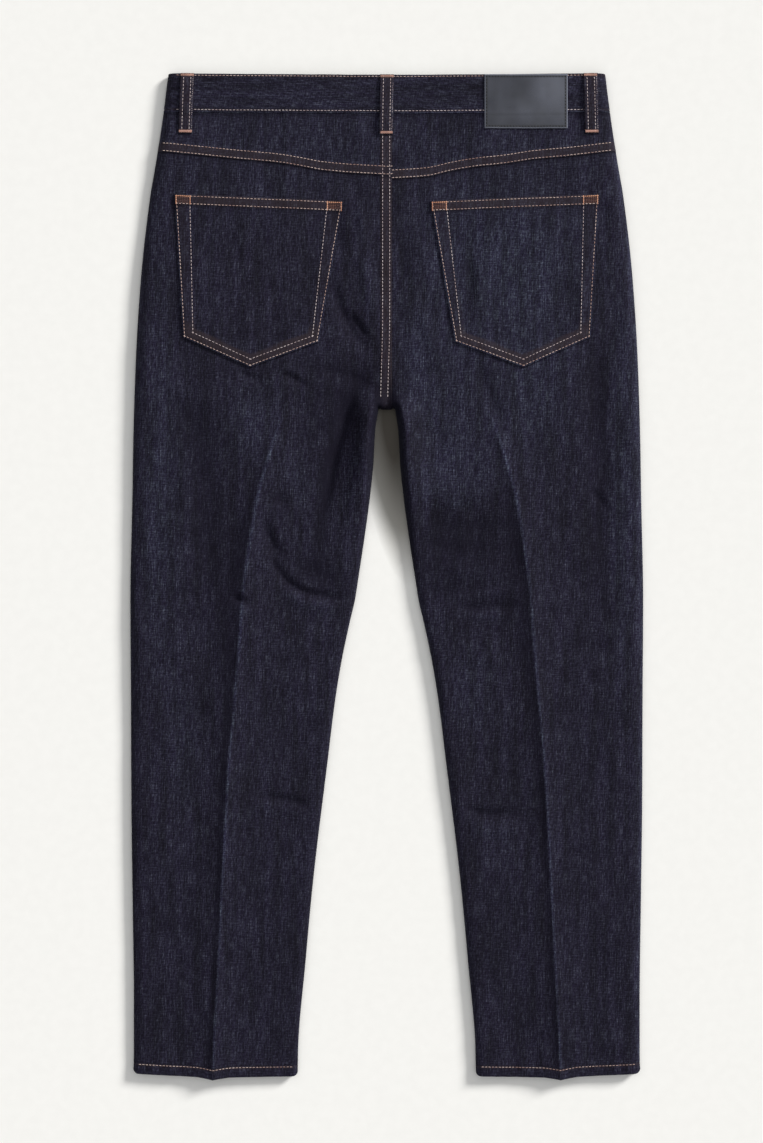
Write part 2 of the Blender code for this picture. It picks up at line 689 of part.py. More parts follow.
def add_button(name):
    """The fly's button, whose dished face rests on the floor."""
    rings = ((0, BUTTON_DISH), (0.62, BUTTON_DISH), (0.78, 0), (0.94, 0), (1, 0.35))
    top = BUTTON_THICK
    profile = [(share * BUTTON_RADIUS, height) for share, height in rings]
    profile += [(BUTTON_RADIUS, top - 0.4), (BUTTON_RADIUS - 0.4, top), (0, top)]
    down = front_waist(BUTTON_X) + BAND_HEIGHT / 2
    shape = bmesh.new()
    turned = [shape.verts.new((radius * MM, 0, height * MM)) for radius, height in profile]
    for first, second in zip(turned, turned[1:]):
        shape.edges.new((first, second))
    bmesh.ops.spin(
        shape,
        geom=list(shape.verts) + list(shape.edges),
        axis=(0, 0, 1),
        cent=(0, 0, 0),
        angle=math.tau,
        steps=BUTTON_SIDES,
    )
    bmesh.ops.remove_doubles(shape, verts=list(shape.verts), dist=0.01 * MM)
    bmesh.ops.recalc_face_normals(shape, faces=list(shape.faces))
    made = add_object(name, shape, ANTIQUE_COPPER)
    made.location = (BUTTON_X * MM, (LENGTH / 2 - down) * MM, 0)


def main():
    clear_scene()
    for side, word in ((-1, "left"), (1, "right")):
        add_back_panel(f"back_panel_{word}", side)
        add_yoke(f"yoke_{word}", side)
        add_front_panel(f"front_panel_{word}", side)
        add_pocket_facing(f"pocket_facing_{word}", side)
        add_hem(f"hem_{word}", side)
        add_back_pocket(f"back_pocket_{word}", side)
        add_front_loop(f"loop_front_{word}", side)
    for loop in BACK_LOOPS:
        add_back_loop(loop.name, loop.top_x, loop.low_x)
    add_waistband("waistband")
    add_patch("patch")
    add_button("button")


main()
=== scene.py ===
"""The looks of carrot fit jeans in raw denim, laid face down on a pale surface.

A place on the garment is given by x, its distance in mm to the right of the seat seam, and by down,
its distance in mm below the waist's top line. z is the height above the floor. Every piece is a
sheet of such points with the direction that faces out of the garment at each, and the piece's wall
lies between two distances along that direction. Left and right are the wearer's, which are also
those of the picture, because it shows the back.
"""

import logging
import math
from dataclasses import dataclass, replace
from enum import Enum
from typing import Any, Callable, NamedTuple, Optional, Sequence

import bpy
import numpy as np
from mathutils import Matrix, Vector


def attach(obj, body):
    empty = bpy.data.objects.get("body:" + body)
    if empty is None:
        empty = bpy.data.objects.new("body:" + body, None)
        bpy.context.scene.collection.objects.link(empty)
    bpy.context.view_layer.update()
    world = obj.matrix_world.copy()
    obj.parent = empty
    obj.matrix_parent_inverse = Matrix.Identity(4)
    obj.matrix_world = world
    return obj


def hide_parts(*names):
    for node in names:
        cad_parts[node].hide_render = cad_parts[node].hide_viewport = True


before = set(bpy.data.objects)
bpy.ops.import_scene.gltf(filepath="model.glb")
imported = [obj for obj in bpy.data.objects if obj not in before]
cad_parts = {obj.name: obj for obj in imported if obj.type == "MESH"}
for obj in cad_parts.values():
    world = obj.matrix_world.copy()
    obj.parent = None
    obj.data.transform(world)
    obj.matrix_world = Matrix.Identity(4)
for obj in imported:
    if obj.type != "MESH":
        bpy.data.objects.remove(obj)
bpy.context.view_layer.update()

Array = np.ndarray
Points = tuple[Array, Array]
LOG = logging.getLogger("jeans")

MM = 0.001
TINY = 0.001
# Gains of the painted light and shade on the cloth: for the painted light and painted shade of the patches,
# for painted highlights on crests and painted shade in hollows
PAINTED_LIGHT_GAIN, PAINTED_SHADE_GAIN = 0.30, 0.40
CREST_HIGHLIGHT, HOLLOW_SHADE = 0.07, 0.16
MOST_SHADE = 0.85
# How long a fold keeps its full rise, and how flat its middle is
FOLD_PLATEAU, FOLD_POWER = 1.5, 1.6
# Settings that many nodes share
MIX = "ShaderNodeMix"
BLEND = {"data_type": "RGBA"}
MULTIPLY = {**BLEND, "blend_type": "MULTIPLY", 0: 1.0}
SCALE_AND_ADD = {"operation": "MULTIPLY_ADD"}
BODY = "root"
WEAVE_MAP = "weave"
TONE = "tone"
FINENESS = 1.0


# ---- tables of the garment's form


class Side(NamedTuple):
    """The outer side of a leg: its distance from the seat seam and the height of the cloth."""

    down: float
    outer: float
    fullness: float


SIDES = (
    Side(0, 223.9, 12.4),
    Side(44, 229.5, 12.2),
    Side(88, 236.2, 12.2),
    Side(128, 242.9, 12.4),
    Side(210, 252.1, 13.0),
    Side(293, 257.3, 13.2),
    Side(375, 259.9, 12.8),
    Side(436, 260.9, 12.2),
    Side(539, 262.9, 11.4),
    Side(642, 262.3, 11.2),
    Side(745, 261.9, 11.0),
    Side(847, 260.6, 10.6),
    Side(950, 259.3, 10.2),
    Side(1001, 259.3, 9.8),
    Side(1030, 260.0, 9.6),
)


class Leg(NamedTuple):
    """The inner edge and the pressed crease of a leg, and how high the crease stands."""

    down: float
    inner: float
    crease: float
    ridge: float


LEGS = (
    Leg(343, 8.2, 103.0, 0.9),
    Leg(365, 11.8, 111.5, 2.2),
    Leg(398, 13.6, 122.0, 3.3),
    Leg(436, 17.5, 132.5, 4.0),
    Leg(477, 23.1, 139.3, 4.2),
    Leg(518, 29.3, 145.3, 4.4),
    Leg(539, 32.6, 147.3, 4.4),
    Leg(560, 37.5, 148.8, 4.4),
    Leg(601, 46.2, 152.0, 4.5),
    Leg(642, 52.9, 155.5, 4.6),
    Leg(704, 60.6, 161.0, 4.6),
    Leg(827, 75.5, 168.0, 4.5),
    Leg(909, 83.2, 172.0, 4.4),
    Leg(1001, 90.9, 177.0, 4.2),
    Leg(1030, 91.3, 178.0, 4.0),
)


class YokeEdge(NamedTuple):
    """The yoke's lapped edge, by distance from the seat seam, on the left and on the right."""

    across: float
    left: float
    right: float


YOKE = (
    YokeEdge(0, 104.7, 108.9),
    YokeEdge(40, 102.4, 106.3),
    YokeEdge(67, 99.8, 100.4),
    YokeEdge(90, 95.6, 96.6),
    YokeEdge(117, 91.6, 93.8),
    YokeEdge(150, 88.6, 88.8),
    YokeEdge(185, 85.0, 85.6),
    YokeEdge(240, 79.6, 79.0),
)


class Fold(NamedTuple):
    """A soft trough, or a ridge where rise is above zero.

    It bends from start past bend to end, is reach wide to each side, and is at its strongest at the
    share peak of its length.
    """

    start: tuple[float, float]
    bend: tuple[float, float]
    end: tuple[float, float]
    reach: float
    rise: float
    peak: float


# The large folds, which the solids have too, a little shallower
FOLDS = (
    Fold((1.5, 306), (1.5, 325), (0, 345), 8, -3.6, 1.0),
    Fold((-54, 190), (-46, 244), (-12, 288), 6, -3.4, 0.6),
    Fold((-25, 176), (-20, 216), (-14, 262), 8, 1.8, 0.5),
    Fold((-30, 316), (-54, 396), (-66, 470), 6, -4.8, 0.35),
    Fold((-12, 290), (-34, 328), (-54, 372), 12, -2.6, 0.5),
    Fold((-20, 356), (-34, 412), (-44, 480), 9, 1.2, 0.5),
    Fold((-124, 470), (-96, 524), (-30, 535), 4.5, -4.2, 0.65),
    Fold((-112, 496), (-74, 512), (-36, 516), 14, -2.0, 0.5),
    Fold((-112, 528), (-80, 542), (-34, 546), 7, 2.0, 0.5),
    Fold((-200, 312), (-188, 430), (-178, 640), 21, -2.8, 0.35),
    Fold((-148, 740), (-106, 743), (-74, 752), 4.5, -2.8, 0.6),
    Fold((-150, 750), (-106, 754), (-80, 762), 6, 0.7, 0.5),
    Fold((86, 284), (104, 324), (121, 374), 7, -2.0, 0.5),
    Fold((20, 384), (62, 428), (136, 388), 17, 2.4, 0.5),
    Fold((34, 440), (70, 466), (138, 448), 17, -2.2, 0.5),
    Fold((36, 522), (66, 532), (142, 523), 9, -2.2, 0.5),
    Fold((40, 534), (86, 533), (146, 528), 5, 1.8, 0.6),
    Fold((62, 548), (96, 547), (146, 543), 5, -2.4, 0.6),
    Fold((74, 746), (104, 758), (148, 751), 4.5, -3.0, 0.5),
    Fold((80, 766), (110, 775), (150, 770), 7, 1.4, 0.5),
    Fold((212, 250), (218, 420), (222, 690), 13, -2.2, 0.4),
)

# The smaller creases of the back
BACK_CREASES = (
    Fold((-156, 306), (-141, 310), (-125, 315), 3.5, -1.6, 0.5),
    Fold((-109, 308), (-96, 312), (-74, 324), 3, -1.6, 0.5),
    Fold((-118, 304), (-100, 304), (-84, 308), 4, 0.8, 0.5),
    Fold((-39, 246), (-30, 256), (-16, 276), 3.5, -2.2, 0.6),
    Fold((-58, 118), (-50, 160), (-46, 196), 7, -0.9, 0.5),
    Fold((-34, 124), (-26, 152), (-24, 182), 5, 0.9, 0.5),
    Fold((-128, 450), (-120, 474), (-112, 500), 5, -1.6, 0.5),
    Fold((-111, 424), (-108, 436), (-105, 448), 5, -1.3, 0.5),
    Fold((208, 423), (217, 435), (228, 450), 3.5, -1.3, 0.5),
    Fold((218, 124), (222, 148), (219, 176), 5, -1.0, 0.5),
    Fold((83, 180), (85, 206), (84, 236), 4, -0.9, 0.5),
    Fold((92, 180), (95, 214), (94, 250), 4, 0.7, 0.5),
    Fold((22, 150), (16, 190), (24, 240), 7, -0.8, 0.5),
    Fold((36, 232), (40, 262), (60, 300), 6, 0.8, 0.5),
    Fold((-15, 322), (-52, 306), (-100, 300), 6, -0.8, 0.3),
    Fold((-13, 336), (-40, 352), (-56, 396), 6, 0.7, 0.4),
    Fold((-20, 350), (-74, 366), (-118, 402), 8, -0.6, 0.4),
    Fold((-128, 462), (-117, 480), (-104, 498), 6, -1.0, 0.5),
    Fold((-160, 532), (-149, 539), (-137, 541), 3.5, -2.0, 0.5),
    Fold((-150, 548), (-142, 551), (-128, 550), 4, 0.8, 0.5),
    Fold((-112, 508), (-92, 522), (-66, 527), 6, 0.8, 0.5),
    Fold((-240, 522), (-214, 532), (-186, 530), 6, -0.7, 0.4),
    Fold((-236, 560), (-212, 556), (-178, 562), 6, -0.5, 0.5),
    Fold((-84, 590), (-104, 600), (-132, 602), 6, -0.5, 0.4),
    Fold((-240, 640), (-206, 652), (-178, 650), 7, -0.5, 0.5),
    Fold((-66, 664), (-92, 672), (-130, 668), 6, -0.5, 0.4),
    Fold((-236, 820), (-200, 816), (-176, 824), 7, -0.5, 0.5),
    Fold((-90, 846), (-120, 840), (-150, 846), 6, -0.4, 0.5),
    Fold((-232, 906), (-204, 912), (-184, 908), 6, -0.4, 0.5),
    Fold((-100, 934), (-128, 942), (-156, 938), 6, -0.4, 0.5),
    Fold((-240, 330), (-206, 352), (-190, 396), 8, -0.6, 0.5),
    Fold((-224, 290), (-216, 250), (-224, 200), 5, -0.5, 0.5),
    Fold((-66, 110), (-72, 122), (-70, 134), 5, -0.6, 0.3),
    Fold((-30, 108), (-33, 132), (-30, 160), 5, -0.6, 0.3),
    Fold((14, 316), (46, 306), (92, 312), 6, -0.8, 0.3),
    Fold((13, 340), (38, 364), (84, 372), 7, -0.7, 0.3),
    Fold((20, 414), (52, 398), (84, 366), 5, 0.7, 0.5),
    Fold((30, 428), (68, 420), (106, 378), 5, -0.7, 0.5),
    Fold((42, 436), (82, 436), (122, 392), 5, 0.6, 0.5),
    Fold((60, 446), (96, 442), (130, 410), 4, -0.5, 0.5),
    Fold((128, 330), (138, 350), (158, 378), 6, -0.6, 0.5),
    Fold((28, 470), (62, 486), (118, 480), 8, -0.7, 0.4),
    Fold((60, 504), (88, 512), (132, 506), 7, 0.6, 0.5),
    Fold((78, 552), (102, 556), (140, 552), 5, 0.8, 0.5),
    Fold((152, 548), (178, 552), (214, 546), 6, -0.7, 0.3),
    Fold((164, 578), (196, 586), (236, 580), 7, -0.5, 0.5),
    Fold((62, 604), (92, 610), (130, 606), 6, -0.5, 0.5),
    Fold((166, 650), (200, 656), (240, 652), 7, -0.5, 0.5),
    Fold((74, 690), (104, 698), (146, 694), 6, -0.5, 0.5),
    Fold((172, 790), (204, 800), (242, 796), 7, -0.5, 0.5),
    Fold((84, 842), (114, 850), (150, 848), 6, -0.4, 0.5),
    Fold((182, 896), (210, 904), (244, 900), 7, -0.5, 0.5),
    Fold((96, 936), (122, 944), (156, 940), 6, -0.4, 0.5),
    Fold((222, 300), (232, 260), (230, 206), 6, -0.5, 0.5),
    Fold((30, 112), (34, 140), (30, 170), 5, -0.6, 0.3),
    Fold((228, 330), (206, 356), (196, 400), 8, -0.6, 0.5),
)

# Low creases of the front, which the floor presses flat
FRONT_CREASES = (
    Fold((-16, 330), (-60, 318), (-112, 322), 6, 0.9, 0.3),
    Fold((-18, 346), (-62, 360), (-108, 384), 6, 0.8, 0.3),
    Fold((18, 332), (58, 322), (104, 326), 6, 0.9, 0.3),
    Fold((20, 350), (70, 368), (118, 390), 6, 0.8, 0.3),
    Fold((-44, 545), (-96, 556), (-150, 548), 6, 0.8, 0.4),
    Fold((50, 538), (104, 550), (160, 544), 6, 0.8, 0.4),
    Fold((-72, 740), (-116, 752), (-170, 744), 6, 0.6, 0.4),
    Fold((74, 752), (120, 760), (176, 752), 6, 0.6, 0.4),
)


class Nap(NamedTuple):
    """A soft patch of painted light on the cloth, or of painted shade where share is below zero.

    lean is how far it drifts across for each mm down.
    """

    x: float
    down: float
    wide: float
    long: float
    lean: float
    share: float


PAINTED_LIGHT_PATCHES = (
    Nap(0, 70, 300, 60, 0.0, 0.30),
    Nap(-143, 358, 30, 48, -0.32, 0.55),
    Nap(-90, 415, 15, 34, 0.0, 0.45),
    Nap(-232, 420, 22, 180, 0.0, 0.60),
    Nap(-206, 702, 17, 74, 0.0, 0.50),
    Nap(-160, 800, 7, 110, -0.06, 0.40),
    Nap(-235, 150, 14, 90, 0.0, 0.25),
    Nap(62, 345, 42, 78, 0.15, 0.62),
    Nap(150, 330, 36, 56, 0.0, 0.75),
    Nap(240, 415, 14, 200, 0.0, 0.75),
    Nap(92, 628, 22, 60, 0.0, 0.45),
    Nap(118, 790, 20, 34, 0.0, 0.45),
    Nap(126, 200, 64, 70, 0.0, 0.85),
    Nap(50, 180, 26, 60, 0.0, 0.30),
    Nap(30, 300, 12, 60, 0.0, 0.40),
    Nap(-56, 333, 30, 46, -0.2, -0.75),
    Nap(-70, 508, 34, 17, 0.0, -0.50),
    Nap(-172, 520, 22, 110, -0.05, -0.45),
    Nap(68, 496, 38, 36, 0.0, -0.90),
    Nap(-34, 366, 24, 50, -0.25, -0.50),
    Nap(-63, 434, 9, 62, -0.10, -1.60),
    Nap(-106, 452, 13, 24, 0.25, -0.70),
    Nap(134, 205, 78, 92, 0.0, 0.32),
    Nap(-100, 300, 90, 10, 0.0, -0.45),
    Nap(-210, 250, 10, 60, 0.0, -0.40),
    Nap(-46, 150, 22, 26, 0.0, -0.35),
    Nap(112, 500, 26, 60, 0.0, -0.45),
    Nap(96, 566, 34, 14, 0.0, -0.40),
    Nap(216, 440, 10, 180, 0.0, -0.35),
    Nap(0, 900, 400, 220, 0.0, -0.42),
)


class Corner(NamedTuple):
    """A corner of a back pocket, by distance from the seat seam."""

    across: float
    down: float


TOP_OUTER = Corner(217.3, 123.8)
TOP_INNER = Corner(44.6, 130.9)
LOW_INNER = Corner(69.4, 275.3)
LOW_POINT = Corner(139.8, 301.4)
LOW_OUTER = Corner(208.6, 270.6)


# ---- curves and unevenness


def smooth(rows: Sequence[NamedTuple], column: str, at: Array) -> Array:
    """A smooth curve through one column of a table, which never overshoots.

    Args:
        rows: The table, in rising order of its first column.
        column: The name of the column to follow.
        at: Where to read it, in the first column's unit.

    Returns:
        The column's value at each place.
    """
    known = np.array([row[0] for row in rows], float)
    value = np.array([getattr(row, column) for row in rows], float)
    step = np.diff(known)
    slope = np.diff(value) / step
    total = slope[:-1] + slope[1:]
    same_way = slope[:-1] * slope[1:] > 0
    middle = 2 * slope[:-1] * slope[1:] / np.where(same_way, total, 1)
    tangent = np.concatenate([slope[:1], np.where(same_way, middle, 0), slope[-1:]])
    at = np.clip(at, known[0], known[-1])
    k = np.clip(np.searchsorted(known, at, side="right") - 1, 0, len(step) - 1)
    t = (at - known[k]) / step[k]
    ends = value[k] * (1 + 2 * t) * (1 - t) ** 2 + value[k + 1] * t * t * (3 - 2 * t)
    return ends + step[k] * t * (1 - t) * (tangent[k] * (1 - t) - tangent[k + 1] * t)


def ease(t: Array) -> Array:
    """A soft step from 0 to 1."""
    t = np.clip(t, 0.0, 1.0)
    return t * t * (3 - 2 * t)


def round_off(t: Array) -> Array:
    """A quarter of an ellipse: 0 at the edge and 1 from t = 1 inwards."""
    return np.sqrt(1 - (1 - np.clip(t, 0.0, 1.0)) ** 2)


def bell(off: Array, wide: float) -> Array:
    """A soft hump: 1 where off is 0, and little beyond wide to each side."""
    return np.exp(-((off / wide) ** 2))


def turning(count: int, first: float = 0.0) -> Array:
    """Shares of the width of a rounded turn, from first degrees round it to its end."""
    return 1 - np.cos(np.radians(np.linspace(first, 90, count)))


def both_ways(*places: float) -> Array:
    """Places to each side of a middle line, with the line itself."""
    return np.concatenate([-np.array(places)[::-1], [0.0], places])


def uneven(across: Array, along: Array, seed: float) -> Array:
    """Smooth unevenness with one bump to each unit of across and along.

    Args:
        across: First coordinate, in bumps.
        along: Second coordinate, in bumps.
        seed: Picks the pattern.

    Returns:
        Values from -1 to 1.
    """
    column, row = np.floor(across), np.floor(along)
    to_right, to_next = ease(across - column), ease(along - row)

    def corner(i: Array, j: Array) -> Array:
        """A fixed value from -1 to 1 for each corner of the lattice."""
        mixed = np.sin(i * 127.1 + j * 311.7 + seed * 74.7) * 43758.5453
        return 2 * (mixed - np.floor(mixed)) - 1

    upper = corner(column, row) * (1 - to_right) + corner(column + 1, row) * to_right
    lower = corner(column, row + 1) * (1 - to_right) + corner(column + 1, row + 1) * to_right
    return upper * (1 - to_next) + lower * to_next


def fold_rise(fold: Fold, x: Array, down: Array, steps: int = 12) -> Array:
    """How far one fold lifts the cloth.

    Args:
        fold: The fold.
        x: Places across the garment.
        down: Places down it, of the same shape.
        steps: Number of straight stretches that stand for its bend.

    Returns:
        The rise at each place, in mm.
    """
    t = np.linspace(0, 1, steps + 1)[:, None]
    start, bend, end = (np.array(point, float) for point in fold[:3])
    path = start * (1 - t) ** 2 + (4 * bend - start - end) * t * (1 - t) + end * t**2
    low, high = path.min(axis=0) - 3 * fold.reach, path.max(axis=0) + 3 * fold.reach
    near = (x > low[0]) & (x < high[0]) & (down > low[1]) & (down < high[1])
    rise = np.zeros(np.shape(x))
    if not near.any():
        return rise
    at_x, at_down = x[near], down[near]
    nearest, share = np.full(at_x.shape, np.inf), np.zeros(at_x.shape)
    for k in range(steps):
        way = path[k + 1] - path[k]
        along = ((at_x - path[k, 0]) * way[0] + (at_down - path[k, 1]) * way[1]) / (way @ way)
        along = np.clip(along, 0, 1)
        off_x = at_x - path[k, 0] - along * way[0]
        off_down = at_down - path[k, 1] - along * way[1]
        distance = np.hypot(off_x, off_down)
        closer = distance < nearest
        share = np.where(closer, (k + along) / steps, share)
        nearest = np.where(closer, distance, nearest)
    strength = ease(share / fold.peak)
    if fold.peak < 1:
        strength = np.minimum(strength, ease((1 - share) / (1 - fold.peak)))
    strength = np.minimum(1.0, FOLD_PLATEAU * strength)
    rise[near] = fold.rise * strength * np.exp(-((nearest / fold.reach) ** FOLD_POWER))
    return rise


def nap_share(x: Array, down: Array) -> Array:
    """How much painted light lies on the cloth at each place, or painted shade where it is below zero."""
    found = np.zeros(np.shape(x))
    for painted_light in PAINTED_LIGHT_PATCHES:
        along = down - painted_light.down
        off = x - painted_light.x - painted_light.lean * along
        found = found + painted_light.share * np.exp(-((off / painted_light.wide) ** 2) - (along / painted_light.long) ** 2)
    return found


# ---- the garment


@dataclass
class Sheet:
    """Points of a cloth's outer surface in mm, with the direction out of the garment at each.

    across is the distance along the cloth itself, for its weave, and hollow is the depth of the
    folds there.
    """

    x: Array
    down: Array
    z: Array
    lean_x: Array
    lean_down: Array
    lean_z: Array
    across: Array
    hollow: Array

    def raised(self, height: Any) -> "Sheet":
        """The sheet with its points moved outwards by height, in mm."""
        return replace(
            self,
            x=self.x + height * self.lean_x,
            down=self.down + height * self.lean_down,
            z=self.z + height * self.lean_z,
        )

    def points(self) -> Array:
        """The points in metres, with the waist towards +Y."""
        return np.stack([self.x, JEANS.length / 2 - self.down, self.z], axis=-1) * MM

    @staticmethod
    def choose(in_front: Array, front: "Sheet", back: "Sheet") -> "Sheet":
        """The front sheet's points where in_front holds, and the back sheet's elsewhere."""
        names = Sheet.__dataclass_fields__
        picked = (np.where(in_front, getattr(front, n), getattr(back, n)) for n in names)
        return Sheet(*picked)


@dataclass(frozen=True)
class Jeans:
    """The garment's sizes in mm, its outline and the surfaces of its back and front."""

    length: float = 1030.0
    cloth: float = 1.2
    seam_gap: float = 0.3
    lap_rise: float = 0.9
    fell_width: float = 9.5
    rim_height: float = 4.5
    back_curl: float = 12.0
    inner_curl: float = 9.0
    front_curl: float = 5.0
    band_height: float = 40.0
    band_thick: float = 2.4
    band_proud: float = 0.7
    back_dip: float = 1.5
    front_dip: float = 18.0
    crotch: float = 343.0
    seat_lap: float = 5.5
    seat_fell: float = 4.9
    seat_fell_foot: float = 7.2
    hem_height: float = 11.5
    ridge_reach: float = 42.0
    ridge_power: float = 1.8
    crisp_reach: float = 7.0
    crisp_share: float = 0.24
    button_x: float = -13.0
    button_lift: float = 4.8
    button_clear: float = 11.0
    button_slope: float = 24.0
    loop_width: float = 14.0
    loop_length: float = 61.5
    loop_thick: float = 1.5
    loop_front_x: float = 84.0
    loop_slope: float = 12.0
    scoop_start: float = 112.0
    scoop_low: float = 133.0
    pucker: float = 0.42
    crease_gain: float = 1.6
    bulk: float = 13.0
    bulk_inset: float = 6.0
    bulk_reach: float = 15.0

    def outer_edge(self, down: Array) -> Array:
        """Distance of a leg's outer side from the seat seam."""
        return smooth(SIDES, "outer", down)

    def inner_edge(self, down: Array) -> Array:
        """Distance of a leg's inner side from the seat seam."""
        return smooth(LEGS, "inner", down)

    def crease_line(self, down: Array) -> Array:
        """Distance of a leg's pressed crease from the seat seam."""
        return smooth(LEGS, "crease", down)

    def back_waist(self, x: Array) -> Array:
        """The waist's top line at the back."""
        return self.back_dip * (1 - np.clip(np.abs(x) / SIDES[0].outer, 0, 1) ** 2)

    def front_waist(self, x: Array) -> Array:
        """The waist's top line at the front."""
        return self.front_dip * (1 - np.clip(np.abs(x) / SIDES[0].outer, 0, 1) ** 2)

    def yoke_line(self, x: Array) -> Array:
        """The yoke's lapped edge."""
        left, right = smooth(YOKE, "left", np.abs(x)), smooth(YOKE, "right", np.abs(x))
        return np.where(x < self.seat_lap, left, right)

    def scoop_line(self, x: Array) -> Array:
        """The edge of a front pocket's opening, and the band's lower edge nearer the fly."""
        top = self.front_waist(x) + self.band_height
        side = self.outer_edge(self.scoop_low) - self.front_curl
        share = np.clip((np.abs(x) - self.scoop_start) / (side - self.scoop_start), 0, 1)
        return top + (self.scoop_low - top) * round_off(share)

    def hem_line(self, x: Array) -> Array:
        """The hem's lower edge, which dips at the crease."""
        across = np.abs(x)
        outer, inner = self.outer_edge(self.length), self.inner_edge(self.length)
        crease = self.crease_line(self.length)
        tip = 2.0 * np.clip(np.abs(across - crease) / 16.0, 0, 1)
        outwards = 4.0 * np.clip((across - crease) / (outer - crease), 0, 1)
        inwards = 1.2 * np.clip((crease - across) / (crease - inner), 0, 1)
        return self.length - tip - outwards - inwards

    def turn_over(self, x: Array, down: Array, outer_curl: float, inner_curl: float) -> tuple:
        """How the cloth turns over at the outline.

        Args:
            x: Places across the garment.
            down: Places down it.
            outer_curl: Width of the turn at the outer side.
            inner_curl: Width of the turn at the inner side and in the crotch.

        Returns:
            The share of full height, and the lean outwards along x and down.
        """
        side = np.where(x < 0, -1.0, 1.0)
        across = np.abs(x)
        corner = LEGS[0].inner
        in_leg = down > self.crotch + TINY
        to_outer = np.clip((self.outer_edge(down) - across) / outer_curl, 0, 1)
        past = np.maximum(across - corner, 0)
        away_x = np.where(in_leg, across - self.inner_edge(down), past)
        away_down = np.where(in_leg, 0, self.crotch - down)
        distance = np.hypot(away_x, away_down)
        on_edge = np.where(across > corner - self.seam_gap, math.sqrt(0.5), 0)
        unit_x = np.where(distance > TINY, away_x / np.maximum(distance, TINY), on_edge)
        unit_x = np.where(in_leg, 1, unit_x)
        to_inner = np.clip(distance / inner_curl, 0, 1)
        share = round_off(to_outer) * round_off(to_inner)
        lean_x = side * ((1 - to_outer) - (1 - to_inner) * unit_x)
        return share, lean_x, (1 - to_inner) * np.sqrt(1 - unit_x**2)

    def along_cloth(self, x: Array, down: Array, drop: Array) -> Array:
        """Distance along the cloth: x, with the height it has lost at a side added on."""
        nearer_outer = self.outer_edge(down) - np.abs(x) < np.abs(x) - self.inner_edge(down)
        return x + np.where(nearer_outer, 1, -1) * np.sign(x) * drop

    def back_pucker(self, x: Array, down: Array) -> Array:
        """The small waves of the cloth, strongest where a seam gathers it."""
        slow = 0.7 * uneven(x / 34, down / 60, 3) + 0.42 * uneven(x / 13, down / 31, 5)
        slow = slow + 0.17 * uneven(x / 6.0, down / 19, 6) + 0.16 * uneven(x / 24, down / 8.0, 8)
        under_yoke = bell(down - self.yoke_line(x), 11) * uneven(x / 6.5, down / 26, 7)
        at_seat = bell(x, 13) * uneven(x / 17, down / 6.0, 9)
        at_seat = at_seat * (down < self.crotch)
        under_band = bell(down - 42, 7) * uneven(x / 7.5, down / 20, 11)
        at_hem = bell(self.length - 12 - down, 8) * uneven(x / 6.0, down / 22, 13)
        inner = np.abs(x) - self.inner_edge(down)
        at_inner = bell(inner, 10) * uneven(x / 24, down / 8.0, 15)
        at_inner = at_inner * (down > self.crotch)
        gathered = under_yoke + 0.8 * at_seat + under_band + at_hem + 0.9 * at_inner
        return slow + self.pucker * gathered

    def back(self, x: Array, down: Array, rim: Optional[float] = None) -> Sheet:
        """The outer surface of the back cloth.

        Args:
            x: Places across the garment.
            down: Places down it, of the same shape.
            rim: Height at which it meets the front at the sides.

        Returns:
            The sheet of those points.
        """
        rim = self.rim_height + self.seam_gap / 2 if rim is None else rim
        off_crease = np.abs(np.abs(x) - self.crease_line(down)) / self.ridge_reach
        ridge = smooth(LEGS, "ridge", down) * (1 - np.clip(off_crease, 0, 1)) ** self.ridge_power
        crisp = (1 - np.clip(off_crease * self.ridge_reach / self.crisp_reach, 0, 1)) ** 1.5
        ridge = ridge * (1 + self.crisp_share * crisp)
        folds = np.zeros(np.shape(x))
        for fold in FOLDS + BACK_CREASES:
            folds = folds + fold_rise(fold, x, down) * (self.crease_gain if fold in BACK_CREASES else 1.0)
        height = smooth(SIDES, "fullness", down) + ridge + self.back_pucker(x, down) + folds
        height = height + self.crotch_bulk(x, down)
        share, lean_x, lean_down = self.turn_over(x, down, self.back_curl, self.inner_curl)
        z = rim + (height - rim) * share
        across = self.along_cloth(x, down, height - z)
        return Sheet(x, down, z, lean_x, lean_down, share, across, -folds)

    def crotch_bulk(self, x: Array, down: Array) -> Array:
        """How far the four thick seams that meet at the crotch lift the cloth beside the gap."""
        off_edge = np.abs(x) - self.inner_edge(down) - self.bulk_inset
        beside = bell(off_edge, self.bulk_reach)
        return self.bulk * beside * ease((down - 322) / 34) * (1 - ease((down - 382) / 100))

    def front_lift(self, x: Array, down: Array) -> Array:
        """Where the front is lifted off the floor, over the button and over the two front loops."""
        button_down = self.front_waist(self.button_x) + self.band_height / 2
        off_button = np.hypot(x - self.button_x, down - button_down) - self.button_clear
        over_button = self.button_lift * (1 - ease(off_button / self.button_slope))
        middle = self.front_waist(self.loop_front_x) + self.loop_length / 2
        off_side = np.abs(np.abs(x) - self.loop_front_x) - self.loop_width / 2 - 1
        off_end = np.abs(down - middle) - self.loop_length / 2 - 1
        off_loop = np.hypot(np.maximum(off_side, 0), np.maximum(off_end, 0))
        over_loop = (self.loop_thick + self.seam_gap) * (1 - ease(off_loop / self.loop_slope))
        return np.maximum(over_button, over_loop)

